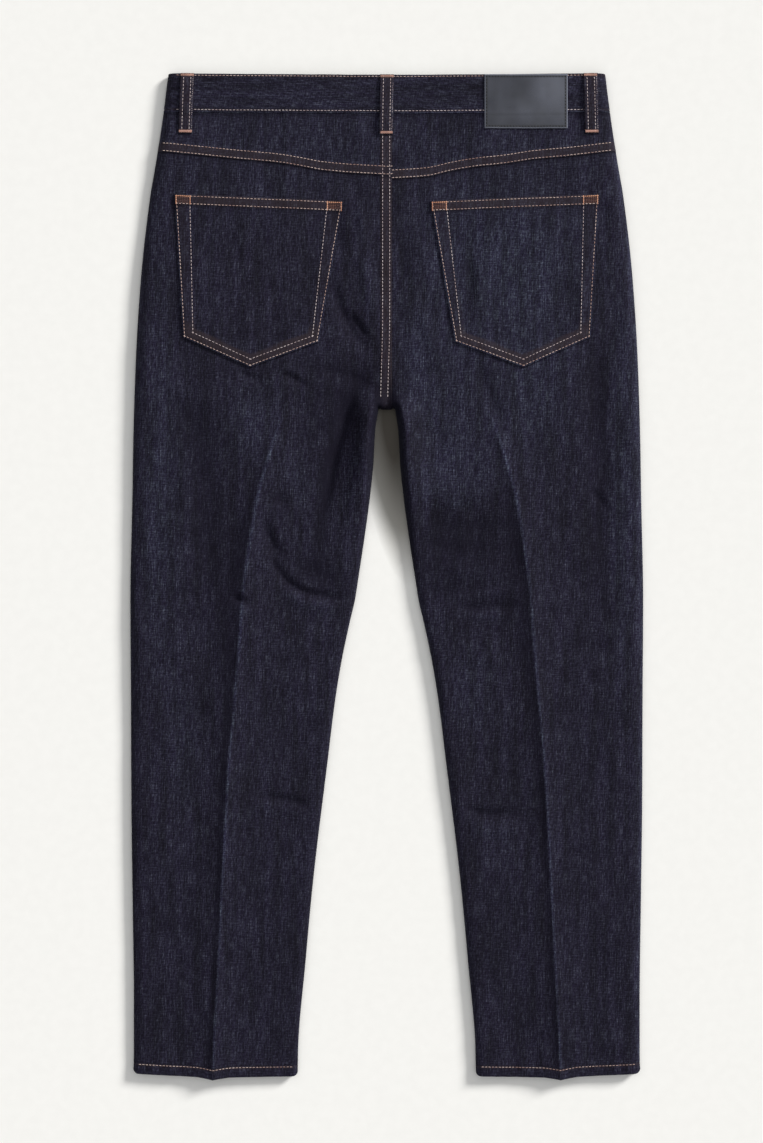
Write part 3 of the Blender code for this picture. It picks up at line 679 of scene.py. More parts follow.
    def front(self, x: Array, down: Array, rim: Optional[float] = None) -> Sheet:
        """The outer surface of the front cloth, which lies on the floor.

        Args:
            x: Places across the garment.
            down: Places down it, of the same shape.
            rim: Height at which it meets the back at the sides.

        Returns:
            The sheet of those points.
        """
        rim = self.rim_height - self.seam_gap / 2 if rim is None else rim
        share, lean_x, lean_down = self.turn_over(x, down, self.front_curl, self.front_curl)
        lift = self.front_lift(x, down)
        for fold in FRONT_CREASES:
            lift = lift + fold_rise(fold, x, down)
        z = rim * (1 - share) + lift * share
        across = self.along_cloth(x, down, rim * (1 - share))
        return Sheet(x, down, z, lean_x, lean_down, -share, across, np.zeros(np.shape(x)))

    def seat_lift(self, x: Array, down: Array) -> Array:
        """How far the lapped and felled strip of the seat seam rises, on the left pieces."""
        foot, fell = self.seat_fell_foot, self.seat_fell
        rise = self.lap_rise * ease((x + foot) / (foot - fell))
        edge = 0.35 * (1 - round_off((self.seat_lap - self.seam_gap / 2 - x) / 0.9))
        on_lap = (x < self.seat_lap) & (down < self.crotch + TINY)
        return np.where(on_lap, rise - edge, 0)

    def above_back(self, x: Array, down: Array) -> Array:
        """How far the band, the yoke's fell and the seat seam stand above the back's surface."""
        below_band = down - self.back_waist(x) - self.band_height
        band = self.band_proud * (1 - ease(below_band / 3.0))
        lap = np.where(x < self.seat_lap + 0.4, self.lap_rise * (1 - ease((np.abs(x) - 5.6) / 2)), 0)
        return np.maximum(band, lap)


JEANS = Jeans()


# ---- materials


def linear(colour: str) -> tuple[float, float, float, float]:
    """A colour for a shader, from its sRGB hex value."""
    parts = [int(colour[k : k + 2], 16) / 255 for k in (0, 2, 4)]
    lit = [p / 12.92 if p <= 0.04045 else ((p + 0.055) / 1.055) ** 2.4 for p in parts]
    return lit[0], lit[1], lit[2], 1.0


def feed(tree: Any, node: Any, settings: Optional[dict] = None, links: Optional[dict] = None) -> Any:
    """Sets and links a node.

    Args:
        tree: The node's tree.
        node: The node.
        settings: Its properties by name, and its unlinked inputs by name or number.
        links: Its linked inputs by name or number, each with a (node, output) pair.

    Returns:
        The node.
    """
    for key, value in (settings or {}).items():
        if isinstance(key, str) and key not in node.inputs:
            setattr(node, key, value)
        else:
            node.inputs[key].default_value = value
    for key, (source, output) in (links or {}).items():
        tree.links.new(source.outputs[output], node.inputs[key])
    return node


def add_node(tree: Any, kind: str, settings: Optional[dict] = None, links: Optional[dict] = None) -> Any:
    """Adds a node of one kind to a tree, with the settings and links that feed describes."""
    return feed(tree, tree.nodes.new(kind), settings, links)


def start_material(name: str) -> tuple[Any, Any, Any]:
    """A new material, its tree and its Principled shader."""
    material = bpy.data.materials.new(name)
    material.use_nodes = True
    tree = material.node_tree
    return material, tree, tree.nodes["Principled BSDF"]


def ramp(tree: Any, source: tuple[Any, str], stops: Sequence[tuple[float, str]]) -> Any:
    """Adds a colour ramp to a tree.

    Args:
        tree: A node tree.
        source: The (node, output) pair that drives it.
        stops: Positions with sRGB hex colours.

    Returns:
        The ramp's node.
    """
    node = add_node(tree, "ShaderNodeValToRGB", links={"Fac": source})
    steps = node.color_ramp.elements
    steps[0].position, steps[1].position = stops[0][0], stops[-1][0]
    for place, _ in stops[1:-1]:
        steps.new(place)
    for step, (_, colour) in zip(steps, stops):
        step.color = linear(colour)
    return node


@dataclass(frozen=True)
class Finish:
    """What every finish shares: its material, made once under its name."""

    name: str

    def material(self) -> Any:
        """The material, made at its first use."""
        return bpy.data.materials.get(self.name) or self.make()

    def make(self) -> Any:
        """Builds the material."""
        raise NotImplementedError


@dataclass(frozen=True)
class RawDenim(Finish):
    """Unwashed 13 oz denim, right-hand 3/1 twill, rope-dyed indigo warp over an ecru weft.

    To the eye it is a near-black violet navy, matt, with fine pale slubs that run down the cloth
    and shorter ones across, over a faint diagonal rib. The inside shows mostly weft.
    """

    name: str = "indigo_denim"
    deep: str = "130E23"
    indigo: str = "221D34"
    worn: str = "3A3A4E"
    slub: str = "666A7B"
    seam: str = "342A2C"
    roughness: float = 0.82
    slub_width: float = 0.95
    slub_length: float = 16.0
    weft_width: float = 0.95
    weft_length: float = 9.0
    # The tint of paler cloth, used for wear and for painted highlights
    rubbed: tuple[float, float, float, float] = (2.9, 3.5, 3.0, 1.0)
    # The real rib has about 1.1 mm from line to line, and is drawn coarser so that it shows.
    rib_pitch: float = 2.0
    rib_angle: float = 63.0
    relief: float = 0.16

    def make(self) -> Any:
        """Builds the material on the weave's own map, in metres."""
        material, tree, shader = start_material(self.name)
        weave = add_node(tree, "ShaderNodeUVMap", {"uv_map": WEAVE_MAP})

        def threads(width: float, length: float, detail: float, turned: float = 0.0) -> Any:
            """Noise drawn out along the cloth, width by length in mm."""
            scale = (1 / (width * MM), 1 / (length * MM), 1)
            spread = add_node(
                tree,
                "ShaderNodeMapping",
                {"Scale": scale, "Rotation": (0, 0, turned)},
                {"Vector": (weave, "UV")},
            )
            return add_node(
                tree,
                "ShaderNodeTexNoise",
                {"noise_dimensions": "2D", "Scale": 1.0, "Detail": detail, "Roughness": 0.6},
                {"Vector": (spread, "Vector")},
            )

        warp = threads(self.slub_width, self.slub_length, 3.0)
        weft = threads(self.weft_length, self.weft_width, 2.0)
        grain = threads(1.0, 2.2, 1.0)
        patchy = threads(9.0, 85.0, 2.0)
        turned = math.radians(self.rib_angle)
        period = 0.31416 / (self.rib_pitch * MM)
        rib_map = add_node(
            tree,
            "ShaderNodeMapping",
            {"Scale": (period * math.sin(turned), -period * math.cos(turned), 1)},
            {"Vector": (weave, "UV")},
        )
        rib = add_node(
            tree,
            "ShaderNodeTexWave",
            {"wave_type": "BANDS", "bands_direction": "DIAGONAL", "Scale": 1.0, "Distortion": 1.5,
             "Detail": 1.0, "Detail Scale": 2.0},
            {"Vector": (rib_map, "Vector")},
        )
        number = {"data_type": "FLOAT"}
        crossing = add_node(tree, MIX, {**number, 0: 0.30}, {2: (warp, "Fac"), 3: (weft, "Fac")})
        hatch = add_node(tree, MIX, {**number, 0: 0.14}, {2: (crossing, 0), 3: (grain, "Fac")})
        stops = ((0.34, self.deep), (0.48, self.indigo), (0.60, self.worn), (0.76, self.slub))
        base = ramp(tree, (hatch, 0), stops)
        across = ramp(tree, (weft, "Fac"), ((0.52, "000000"), (0.90, "808080")))
        slub = {**BLEND, 7: linear(self.slub)}
        cloth = add_node(tree, MIX, slub, {0: (across, "Color"), 6: (base, "Color")})
        shades = (
            (grain, (0.25, "BEBEBE"), (0.75, "FFFFFF")),
            (rib, (0.0, "DCDCDC"), (1.0, "FFFFFF")),
            (patchy, (0.28, "B8B8B8"), (0.72, "FFFFFF")),
        )
        for source, *ends in shades:
            shade = ramp(tree, (source, "Fac"), ends)
            cloth = add_node(tree, MIX, MULTIPLY, {6: (cloth, 2), 7: (shade, "Color")})
        # The tone's red share mixes in paler cloth, for wear and for painted highlights, its green share the
        # seam colour, and its blue share painted shade.
        tone = add_node(tree, "ShaderNodeAttribute", {"attribute_name": TONE})
        tones = add_node(tree, "ShaderNodeSeparateColor", links={"Color": (tone, "Color")})
        paler = add_node(tree, MIX, {**MULTIPLY, 7: self.rubbed}, {6: (cloth, 2)})
        rubbed = add_node(tree, MIX, BLEND, {0: (tones, "Red"), 6: (cloth, 2), 7: (paler, 2)})
        seam = {**BLEND, 7: linear(self.seam)}
        seamed = add_node(tree, MIX, seam, {0: (tones, "Green"), 6: (rubbed, 2)})
        painted_shade = {**BLEND, 7: linear("090616")}
        dark = add_node(tree, MIX, painted_shade, {0: (tones, "Blue"), 6: (seamed, 2)})
        ribbed = {**SCALE_AND_ADD, 1: 0.2}
        height = add_node(tree, "ShaderNodeMath", ribbed, {0: (rib, "Fac"), 2: (warp, "Fac")})
        grained = {**SCALE_AND_ADD, 1: 0.5}
        relief = add_node(tree, "ShaderNodeMath", grained, {0: (grain, "Fac"), 2: (height, 0)})
        lift = {"Strength": 0.8, "Distance": self.relief * MM * 2}
        bump = add_node(tree, "ShaderNodeBump", lift, {"Height": (relief, 0)})
        surface = {
            "Roughness": self.roughness,
            "Specular IOR Level": 0.14,
            "Sheen Weight": 0.05,
            "Sheen Roughness": 0.45,
            "Sheen Tint": linear("9AA0B8"),
        }
        feed(tree, shader, surface, {"Base Color": (dark, 2), "Normal": (bump, "Normal")})
        return material


@dataclass(frozen=True)
class Thread(Finish):
    """Polyester core-spun topstitching thread, Tex 105, slightly lustrous and twisted in plies.

    To the eye each stitch is a short rounded bead, paler on its crown, whose colour drifts a little
    along the row.
    """

    light: str
    dark: str
    roughness: float = 0.55

    def make(self) -> Any:
        """Builds the thread's material."""
        material, tree, shader = start_material(self.name)
        place = add_node(tree, "ShaderNodeTexCoord")
        at = {"Vector": (place, "Object")}
        drift = add_node(tree, "ShaderNodeTexNoise", {"Scale": 60.0, "Detail": 3.0}, at)
        twist = {"Scale": 280.0, "Distortion": 2.0, "bands_direction": "DIAGONAL"}
        plies = add_node(tree, "ShaderNodeTexWave", twist, at)
        colour = ramp(tree, (drift, "Fac"), ((0.36, self.dark), (0.62, self.light)))
        lift = {"Strength": 0.4, "Distance": 0.0001}
        bump = add_node(tree, "ShaderNodeBump", lift, {"Height": (plies, "Fac")})
        surface = {"Roughness": self.roughness, "Specular IOR Level": 0.35, "Sheen Weight": 0.1}
        feed(tree, shader, surface, {"Base Color": (colour, "Color"), "Normal": (bump, "Normal")})
        return material


COPPER_THREAD = Thread("copper_thread", "D2BCB4", "A4847C")
PALE_THREAD = Thread("pale_thread", "CFC3C4", "A39092")
ORANGE_THREAD = Thread("orange_thread", "D8A080", "B0745A")
PEACH_THREAD = Thread("peach_thread", "BC9082", "8E6A5E")
RUST_THREAD = Thread("rust_thread", "5E3C34", "3C2A2E")
BLACK_THREAD = Thread("black_thread", "17171C", "0C0C10")


@dataclass(frozen=True)
class SlateLeather(Finish):
    """Smooth split leather, dyed slate and finished with a thin coat.

    To the eye it is a flat dark grey-blue with a soft broad shine, partly a painted sheen, a fine
    pebbled grain and a slightly paler cut edge.
    """

    name: str = "slate_leather"
    dark: str = "1F222C"
    light: str = "252834"
    # The colour of the pale cut edge, which also serves for the painted sheen
    edge: str = "9A9FB0"
    roughness: float = 0.42
    grain: float = 0.9

    def make(self) -> Any:
        """Builds the leather's material on the patch's own map."""
        material, tree, shader = start_material(self.name)
        weave = add_node(tree, "ShaderNodeUVMap", {"uv_map": WEAVE_MAP})
        at = {"Vector": (weave, "UV")}
        mottle = add_node(tree, "ShaderNodeTexNoise", {"Scale": 55.0, "Detail": 4.0}, at)
        pebble = add_node(tree, "ShaderNodeTexVoronoi", {"Scale": 1 / (self.grain * MM)}, at)
        colour = ramp(tree, (mottle, "Fac"), ((0.3, self.dark), (0.7, self.light)))
        # The tone's red share mixes in the pale cut edge and the painted sheen, and its blue share painted
        # shade along the sewing.
        tone = add_node(tree, "ShaderNodeAttribute", {"attribute_name": TONE})
        tones = add_node(tree, "ShaderNodeSeparateColor", links={"Color": (tone, "Color")})
        edge = {**BLEND, 7: linear(self.edge)}
        edge_and_sheen = add_node(tree, MIX, edge, {0: (tones, "Red"), 6: (colour, "Color")})
        dark = add_node(tree, MIX, {**BLEND, 7: linear("0B0E14")}, {0: (tones, "Blue"), 6: (edge_and_sheen, 2)})
        lift = {"Strength": 0.25, "Distance": 0.0002}
        bump = add_node(tree, "ShaderNodeBump", lift, {"Height": (pebble, "Distance")})
        shine = ramp(tree, (mottle, "Fac"), ((0.3, "747474"), (0.7, "9C9C9C")))
        links = {"Base Color": (dark, 2), "Normal": (bump, "Normal"), "Roughness": (shine, "Color")}
        feed(tree, shader, links=links)
        return material


@dataclass(frozen=True)
class AntiqueCopper(Finish):
    """Stamped copper, tumbled so that it is darker in its hollows.

    To the eye it is a warm brown metal with a satin shine and small dark patches.
    """

    name: str = "antique_copper"
    bright: str = "C77B52"
    dark: str = "5B3222"

    def make(self) -> Any:
        """Builds the metal's material."""
        material, tree, shader = start_material(self.name)
        place = add_node(tree, "ShaderNodeTexCoord")
        at = {"Vector": (place, "Object")}
        patches = add_node(tree, "ShaderNodeTexNoise", {"Scale": 420.0, "Detail": 5.0}, at)
        colour = ramp(tree, (patches, "Fac"), ((0.38, self.dark), (0.62, self.bright)))
        rough = ramp(tree, (patches, "Fac"), ((0.38, "A0A0A0"), (0.62, "5C5C5C")))
        lift = {"Strength": 0.2, "Distance": 0.0001}
        bump = add_node(tree, "ShaderNodeBump", lift, {"Height": (patches, "Fac")})
        links = {"Base Color": (colour, "Color"), "Roughness": (rough, "Color"), "Normal": (bump, "Normal")}
        feed(tree, shader, {"Metallic": 1.0}, links)
        return material


@dataclass(frozen=True)
class PalePaper(Finish):
    """Matt background paper, which gives the eye soft shadows, with a painted shadow in the gap at the
    crotch.
    """

    name: str = "pale_paper"
    light: str = "F4F4F2"
    dark: str = "F2F2F0"
    # A painted shadow: the paper is darker in the gap at the crotch than the two lights make it.
    gap_middle: tuple[float, float, float] = (0.004, 0.154, 0.0)
    gap_size: tuple[float, float, float] = (0.036, 0.165, 1.0)
    gap_turn: float = 0.12

    def make(self) -> Any:
        """Builds the paper's material."""
        material, tree, shader = start_material(self.name)
        place = add_node(tree, "ShaderNodeTexCoord")
        at = {"Vector": (place, "Object")}
        fibre = add_node(tree, "ShaderNodeTexNoise", {"Scale": 90.0, "Detail": 3.0}, at)
        colour = ramp(tree, (fibre, "Fac"), ((0.35, self.dark), (0.65, self.light)))
        spread = {
            "vector_type": "TEXTURE",
            "Location": self.gap_middle,
            "Rotation": (0, 0, self.gap_turn),
            "Scale": self.gap_size,
        }
        gap = add_node(tree, "ShaderNodeMapping", spread, at)
        round_gap = {"Vector": (gap, "Vector")}
        shadow_spot = add_node(tree, "ShaderNodeTexGradient", {"gradient_type": "SPHERICAL"}, round_gap)
        painted_shadow = ramp(tree, (shadow_spot, "Fac"), ((0.0, "FFFFFF"), (0.35, "A8A6A2"), (0.8, "5C5853")))
        shown = add_node(tree, MIX, MULTIPLY, {6: (colour, "Color"), 7: (painted_shadow, "Color")})
        feed(tree, shader, {"Roughness": 0.9, "Specular IOR Level": 0.1}, {"Base Color": (shown, 2)})
        return material


DENIM = RawDenim()
# The inside of the cloth shows the ecru weft, so it is a paler grey-blue with little rib.
DENIM_INSIDE = RawDenim(
    "denim_inside", "3A3E4C", "565B69", "737883", "8F9299", "565B69", 0.88, rubbed=(1.2, 1.2, 1.2, 1.0)
)
CLOTH = (DENIM, DENIM_INSIDE)
LEATHER = SlateLeather()
COPPER = AntiqueCopper()


# ---- cloth walls


def fine(count: float, least: int = 3) -> int:
    return max(least, round(count * FINENESS))


def add_object(name: str, data: Any) -> Any:
    """A new object in the scene."""
    made = bpy.data.objects.new(name, data)
    bpy.context.scene.collection.objects.link(made)
    return made


def add_wall(
    name: str,
    sheet: Sheet,
    low: Any,
    high: Any,
    finishes: tuple[Any, Any] = CLOTH,
    present: Optional[Array] = None,
    ring: bool = False,
    tone: Optional[tuple] = None,
    crosswise: bool = False,
) -> Any:
    """A closed wall between two distances from a sheet.

    Args:
        name: The piece's name.
        sheet: Its outer surface. On a ring the last column lies on the first.
        low: Distance of its inner side from the sheet, in mm.
        high: Distance of its outer side from the sheet, in mm.
        finishes: Finish of the outer side and of the inner side.
        present: Which points of the sheet the piece has.
        ring: Whether its last column is joined to its first.
        tone: Shares of paler cloth (wear, and painted highlight), seam-coloured cloth and painted shade at
            each point.
        crosswise: Whether the warp runs across the garment.

    Returns:
        The piece's object.
    """
    outer, inner = sheet.raised(high).points(), sheet.raised(low).points()
    present = np.ones(sheet.x.shape, bool) if present is None else present
    weave = (sheet.down, sheet.across) if crosswise else (sheet.across, -sheet.down)
    weave = np.stack(weave, axis=-1) * MM
    wear_and_highlight, stain, shade = tone or (0, 0, 0)
    # Painted light and painted shade from the patches on the back, a painted highlight on fold crests and
    # painted shade in fold hollows
    on_back = (sheet.lean_z > 0) & (finishes[0] is DENIM)
    painted_light = np.where(on_back, nap_share(sheet.x, sheet.down), 0)
    wear_and_highlight = wear_and_highlight + PAINTED_LIGHT_GAIN * np.maximum(painted_light, 0) + CREST_HIGHLIGHT * np.clip(-sheet.hollow, 0, 1.5)
    shade = shade + PAINTED_SHADE_GAIN * np.maximum(-painted_light, 0) + HOLLOW_SHADE * np.clip(sheet.hollow, 0, 3)
    tones = (np.clip(wear_and_highlight, 0, 1), stain, np.clip(shade, 0, MOST_SHADE))
    tones = [np.broadcast_to(part, sheet.x.shape) for part in tones]
    tones = np.stack(tones + [np.ones(sheet.x.shape)], axis=-1)
    middle = sheet.x.shape[1] // 2
    run = sheet.x[0, middle] - sheet.x[0, middle - 1]
    if run * sheet.lean_z[0, middle] < 0:
        turned = (grid[:, ::-1] for grid in (outer, inner, present, weave, tones))
        outer, inner, present, weave, tones = turned
    rows, columns = present.shape
    count = rows * columns
    at = np.arange(count).reshape(rows, columns)
    joined = at.copy()
    if ring:
        joined[:, -1] = joined[:, 0]
    whole = present[:-1, :-1] & present[1:, :-1] & present[1:, 1:] & present[:-1, 1:]

    def corners(numbers: Array) -> Array:
        """The four corners of each whole cell, as numbers of its points."""
        cell = (numbers[:-1, :-1], numbers[1:, :-1], numbers[1:, 1:], numbers[:-1, 1:])
        return np.stack([part[whole] for part in cell], axis=1)

    cells, places = corners(joined), corners(at)
    start, end = cells.ravel(), np.roll(cells, -1, axis=1).ravel()
    from_place, to_place = places.ravel(), np.roll(places, -1, axis=1).ravel()
    rim = ~np.isin(start * count + end, end * count + start)
    a, b = start[rim], end[rim]
    edge = np.stack([b, a, a + count, b + count], axis=1)
    edge_places = np.stack([to_place[rim], from_place[rim], from_place[rim], to_place[rim]], axis=1)
    faces = np.concatenate([cells, cells[:, ::-1] + count, edge])
    uv_places = np.concatenate([places, places[:, ::-1], edge_places])
    used, packed = np.unique(faces, return_inverse=True)
    packed = packed.reshape(faces.shape)

    points = np.concatenate([outer.reshape(-1, 3), inner.reshape(-1, 3)])[used]
    mesh = bpy.data.meshes.new(name)
    mesh.vertices.add(len(points))
    mesh.vertices.foreach_set("co", points.astype(np.float32).ravel())
    mesh.loops.add(packed.size)
    mesh.loops.foreach_set("vertex_index", packed.astype(np.int32).ravel())
    mesh.polygons.add(len(packed))
    mesh.polygons.foreach_set("loop_start", np.arange(0, packed.size, 4, dtype=np.int32))
    for finish in finishes:
        mesh.materials.append(finish.material())
    slots = np.zeros(len(packed), np.int32)
    slots[len(cells) : 2 * len(cells)] = 1
    mesh.polygons.foreach_set("material_index", slots)
    layer = mesh.uv_layers.new(name=WEAVE_MAP)
    layer.data.foreach_set("uv", weave.reshape(-1, 2)[uv_places.ravel()].astype(np.float32).ravel())
    attribute = mesh.attributes.new(TONE, "FLOAT_COLOR", "POINT")
    shown = np.concatenate([tones.reshape(-1, 4)] * 2)[used]
    attribute.data.foreach_set("color", shown.astype(np.float32).ravel())
    mesh.update(calc_edges=True)
    mesh.validate()
    mesh.shade_smooth()
    mesh.set_sharp_from_angle(angle=math.radians(50))
    return add_object(name, mesh)


def cut_area(sheet: Sheet, present: Optional[Array] = None) -> float:
    """The flat area of a sheet's cut, in square metres.

    Args:
        sheet: The sheet.
        present: Which of its points the piece has.

    Returns:
        The area that the cloth has when spread flat.
    """
    across, down = sheet.across, sheet.down
    d1 = (across[1:, 1:] - across[:-1, :-1]) * (down[1:, :-1] - down[:-1, 1:])
    d2 = (across[1:, :-1] - across[:-1, 1:]) * (down[1:, 1:] - down[:-1, :-1])
    cells = np.abs(d1 - d2) / 2
    if present is not None:
        cells = cells * (present[:-1, :-1] & present[1:, :-1] & present[1:, 1:] & present[:-1, 1:])
    return float(cells.sum()) * MM * MM


class Columns(NamedTuple):
    """A column of a panel is plus and shares of its leg's inner edge, crease and outer edge."""

    plus: Array
    inner: Array
    crease: Array
    outer: Array


def panel_columns(
    seam: Sequence[float], to_crease: Array, to_outer: Array, inner_curl: float, outer_curl: float
) -> Columns:
    """Columns of a panel from the seat seam outwards.

    Args:
        seam: Places of the columns that end at the crotch.
        to_crease: Shares of the way from the inner curl to the crease.
        to_outer: Shares of the way from the crease to the outer curl.
        inner_curl: Width of the turn at the inner side.
        outer_curl: Width of the turn at the outer side.

    Returns:
        The columns.
    """
    widths = turning(fine(8) + 1)
    found = [(place, 0, 0, 0) for place in seam]
    found += [(inner_curl * width, 1, 0, 0) for width in widths]
    found += [(inner_curl * (1 - t), 1 - t, t, 0) for t in to_crease]
    found += [(-outer_curl * t, 0, 1 - t, t) for t in to_outer]
    found += [(-outer_curl * width, 0, 0, 1) for width in widths[-2::-1]]
    return Columns(*np.array(found, float).T)


def settle(columns: Columns, side: int, rows: Callable[[Array], Array]) -> Points:
    """x and down of a panel's points.

    Args:
        columns: The panel's columns.
        side: -1 on the left and 1 on the right.
        rows: Gives each row's distance down from the points' x.

    Returns:
        The two grids.
    """
    down = np.full((1, len(columns.plus)), JEANS.crotch)
    for _ in range(4):
        across = columns.plus + columns.outer * JEANS.outer_edge(down)
        across = across + columns.inner * JEANS.inner_edge(down)
        x = side * (across + columns.crease * JEANS.crease_line(down))
        down = rows(x)
    return np.broadcast_to(x, down.shape), down


def panel_rows(nominal: Array, top_line: Callable[[Array], Array]) -> Callable[[Array], Array]:
    """A rule for settle: the first row follows top_line and the last one the hem."""
    near_top = 1 - ease((nominal - nominal[0]) / 150.0)
    near_hem = ease((nominal - nominal[-1] + 60.0) / 60.0)

    def rows(x: Array) -> Array:
        """Each row's distance down at x."""
        top = top_line(x) + JEANS.seam_gap / 2 - nominal[0]
        hem = JEANS.hem_line(x) - JEANS.hem_height - JEANS.seam_gap - nominal[-1]
        return nominal + top * near_top + hem * near_hem

    return rows


# ---- sewing


class Row(NamedTuple):
    """A row of sewing: places across, down and above the floor, and which way is out."""

    x: Array
    down: Array
    z: Array
    out: float


@dataclass(frozen=True)
class Stitch:
    """Sizes of one kind of stitch, in mm, and how far it is turned across its row."""

    pitch: float = 3.6
    length: float = 3.0
    width: float = 0.75
    height: float = 0.65
    turn: float = 0.0
    jitter: float = 0.07


LOCKSTITCH = Stitch()
FINE_STITCH = Stitch(3.1, 2.3, 1.2, 0.7)
HEM_STITCH = Stitch(3.4, 3.1, 0.6, 0.55)
FRAYED = Stitch(1.9, 1.6, 0.7, 0.6, 0.4, 0.8)
BAR_ROW = Stitch(1.9, 2.3, 1.15, 1.0)
FILL_ROW = Stitch(1.7, 2.0, 1.3, 0.7, 0.0, 0.25)
SATIN = Stitch(0.72, 3.4, 0.85, 0.8, math.pi / 2, 0.12)


class StitchTree:
    """The geometry nodes that lay stitches along rows, shared by all sewing."""

    NUMBERS = ("Pitch", "Length", "Width", "Height", "Turn", "Jitter")

    def __init__(self) -> None:
        """Builds the tree."""
        tree = bpy.data.node_groups.new("stitches", "GeometryNodeTree")
        self.tree = tree
        face = tree.interface
        face.new_socket("Geometry", in_out="INPUT", socket_type="NodeSocketGeometry")
        for name in self.NUMBERS:
            face.new_socket(name, in_out="INPUT", socket_type="NodeSocketFloat")
        face.new_socket("Seed", in_out="INPUT", socket_type="NodeSocketInt")
        face.new_socket("Thread", in_out="INPUT", socket_type="NodeSocketMaterial")
        face.new_socket("Geometry", in_out="OUTPUT", socket_type="NodeSocketGeometry")
        given = add_node(tree, "NodeGroupInput")
        curve = add_node(tree, "GeometryNodeMeshToCurve", links={"Mesh": (given, "Geometry")})
        row = add_node(
            tree,
            "GeometryNodeResampleCurve",
            {"mode": "LENGTH"},
            {"Curve": (curve, "Curve"), "Length": (given, "Pitch")},
        )
        tangent = add_node(tree, "GeometryNodeInputTangent")
        out = add_node(tree, "GeometryNodeInputNamedAttribute", {"data_type": "FLOAT_VECTOR", "Name": "out"})
        align = "FunctionNodeAlignRotationToVector"
        along = add_node(tree, align, {"axis": "X"}, {"Vector": (tangent, "Tangent")})
        upright = add_node(
            tree,
            align,
            {"axis": "Z", "pivot_axis": "X"},
            {"Rotation": (along, "Rotation"), "Vector": (out, "Attribute")},
        )
        either_way = {"data_type": "FLOAT", 2: -1.0, 3: 1.0}
        wobble = add_node(tree, "FunctionNodeRandomValue", either_way, {"Seed": (given, "Seed")})
        swinging = {0: (wobble, 1), 1: (given, "Jitter"), 2: (given, "Turn")}
        swing = add_node(tree, "ShaderNodeMath", SCALE_AND_ADD, swinging)
        turn = add_node(tree, "ShaderNodeCombineXYZ", links={"Z": (swing, 0)})
        turned = add_node(
            tree,
            "FunctionNodeRotateRotation",
            {"rotation_space": "LOCAL"},
            {"Rotation": (upright, "Rotation"), "Rotate By": (turn, "Vector")},
        )
        bead = add_node(tree, "GeometryNodeMeshUVSphere", {"Segments": 6, "Rings": 5, "Radius": 0.5})
        sides = {"X": (given, "Length"), "Y": (given, "Width"), "Z": (given, "Height")}
        size = add_node(tree, "ShaderNodeCombineXYZ", links=sides)
        stitch = add_node(
            tree, "GeometryNodeTransform", links={"Geometry": (bead, "Mesh"), "Scale": (size, "Vector")}
        )
        placed = add_node(
            tree,
            "GeometryNodeInstanceOnPoints",
            links={
                "Points": (row, "Curve"),
                "Instance": (stitch, "Geometry"),
                "Rotation": (turned, "Rotation"),
            },
        )
        real = add_node(tree, "GeometryNodeRealizeInstances", links={"Geometry": (placed, "Instances")})
        dyeing = {"Geometry": (real, "Geometry"), "Material": (given, "Thread")}
        dyed = add_node(tree, "GeometryNodeSetMaterial", links=dyeing)
        add_node(tree, "NodeGroupOutput", links={"Geometry": (dyed, "Geometry")})

    def sew(self, name: str, rows: Sequence[Row], stitch: Stitch, thread: Thread) -> Any:
        """Lays stitches along rows.

        Args:
            name: The name of the sewing.
            rows: The rows.
            stitch: Sizes of a stitch.
            thread: The thread's finish.

        Returns:
            The sewing, as a plain mesh.
        """
        points, outs, edges, first = [], [], [], 0
        for row in rows:
            count = len(row.x)
            line = np.stack([row.x, JEANS.length / 2 - row.down, row.z], axis=-1) * MM
            points.append(line)
            outs.append(np.tile((0.0, 0.0, row.out), (count, 1)))
            edges += [(first + k, first + k + 1) for k in range(count - 1)]
            first += count
        mesh = bpy.data.meshes.new(f"{name}_rows")
        mesh.from_pydata(np.concatenate(points).tolist(), edges, [])
        out = mesh.attributes.new("out", "FLOAT_VECTOR", "POINT")
        out.data.foreach_set("vector", np.concatenate(outs).astype(np.float32).ravel())
        guide = add_object(f"{name}_rows", mesh)
        modifier = guide.modifiers.new("stitches", "NODES")
        modifier.node_group = self.tree
        named = {
            item.name: item.identifier
            for item in self.tree.interface.items_tree
            if item.item_type == "SOCKET" and item.in_out == "INPUT"
        }
        sizes = (stitch.pitch * MM, stitch.length * MM, stitch.width * MM, stitch.height * MM)
        for label, value in zip(self.NUMBERS, (*sizes, stitch.turn, stitch.jitter)):
            modifier[named[label]] = float(value)
        modifier[named["Seed"]] = len(name)
        modifier[named["Thread"]] = thread.material()
        graph = bpy.context.evaluated_depsgraph_get()
        plain = bpy.data.meshes.new_from_object(guide.evaluated_get(graph), depsgraph=graph)
        plain.name = name
        plain.shade_smooth()
        guide.modifiers.clear()
        bpy.data.objects.remove(guide)
        made = add_object(name, plain)
        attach(made, BODY)
        LOG.info("%s: %d faces in %d rows", name, len(plain.polygons), len(rows))
        return made


# ---- sub-assemblies


class Half(Enum):
    """The wearer's left and right, with the sign of x there."""

    LEFT = -1
    RIGHT = 1

    @property
    def word(self) -> str:
        """The half's name in a node's name."""
        return self.name.lower()


@dataclass
class Piece:
    """What every piece of cloth shares: its node, and how it is attached to the body in place of its solid.
    """

    half: Half = Half.LEFT

    def hand_over(
        self,
        made: Any,
        node: str,
        sheet: Sheet,
        area: float,
        rests_on: Sequence[str],
        sewing: Sequence[Any] = (),
        slot: str = "raw_denim",
        flat: Optional[tuple[float, float]] = None,
    ) -> Any:
        """Args:
            made: The piece.
            node: The node it stands for.
            sheet: Its surface, for the size of its cut; not used.
            area: The flat area of its cut in square metres; not used.
            rests_on: Names of what it lies on; not used.
            sewing: The sewing on it; not used.
            slot: Its material slot; not used.
            flat: Width and length of its cut, where the sheet doesn't give them; not used.

        Returns:
            The piece.
        """
        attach(made, BODY)
        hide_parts(node)
        return made


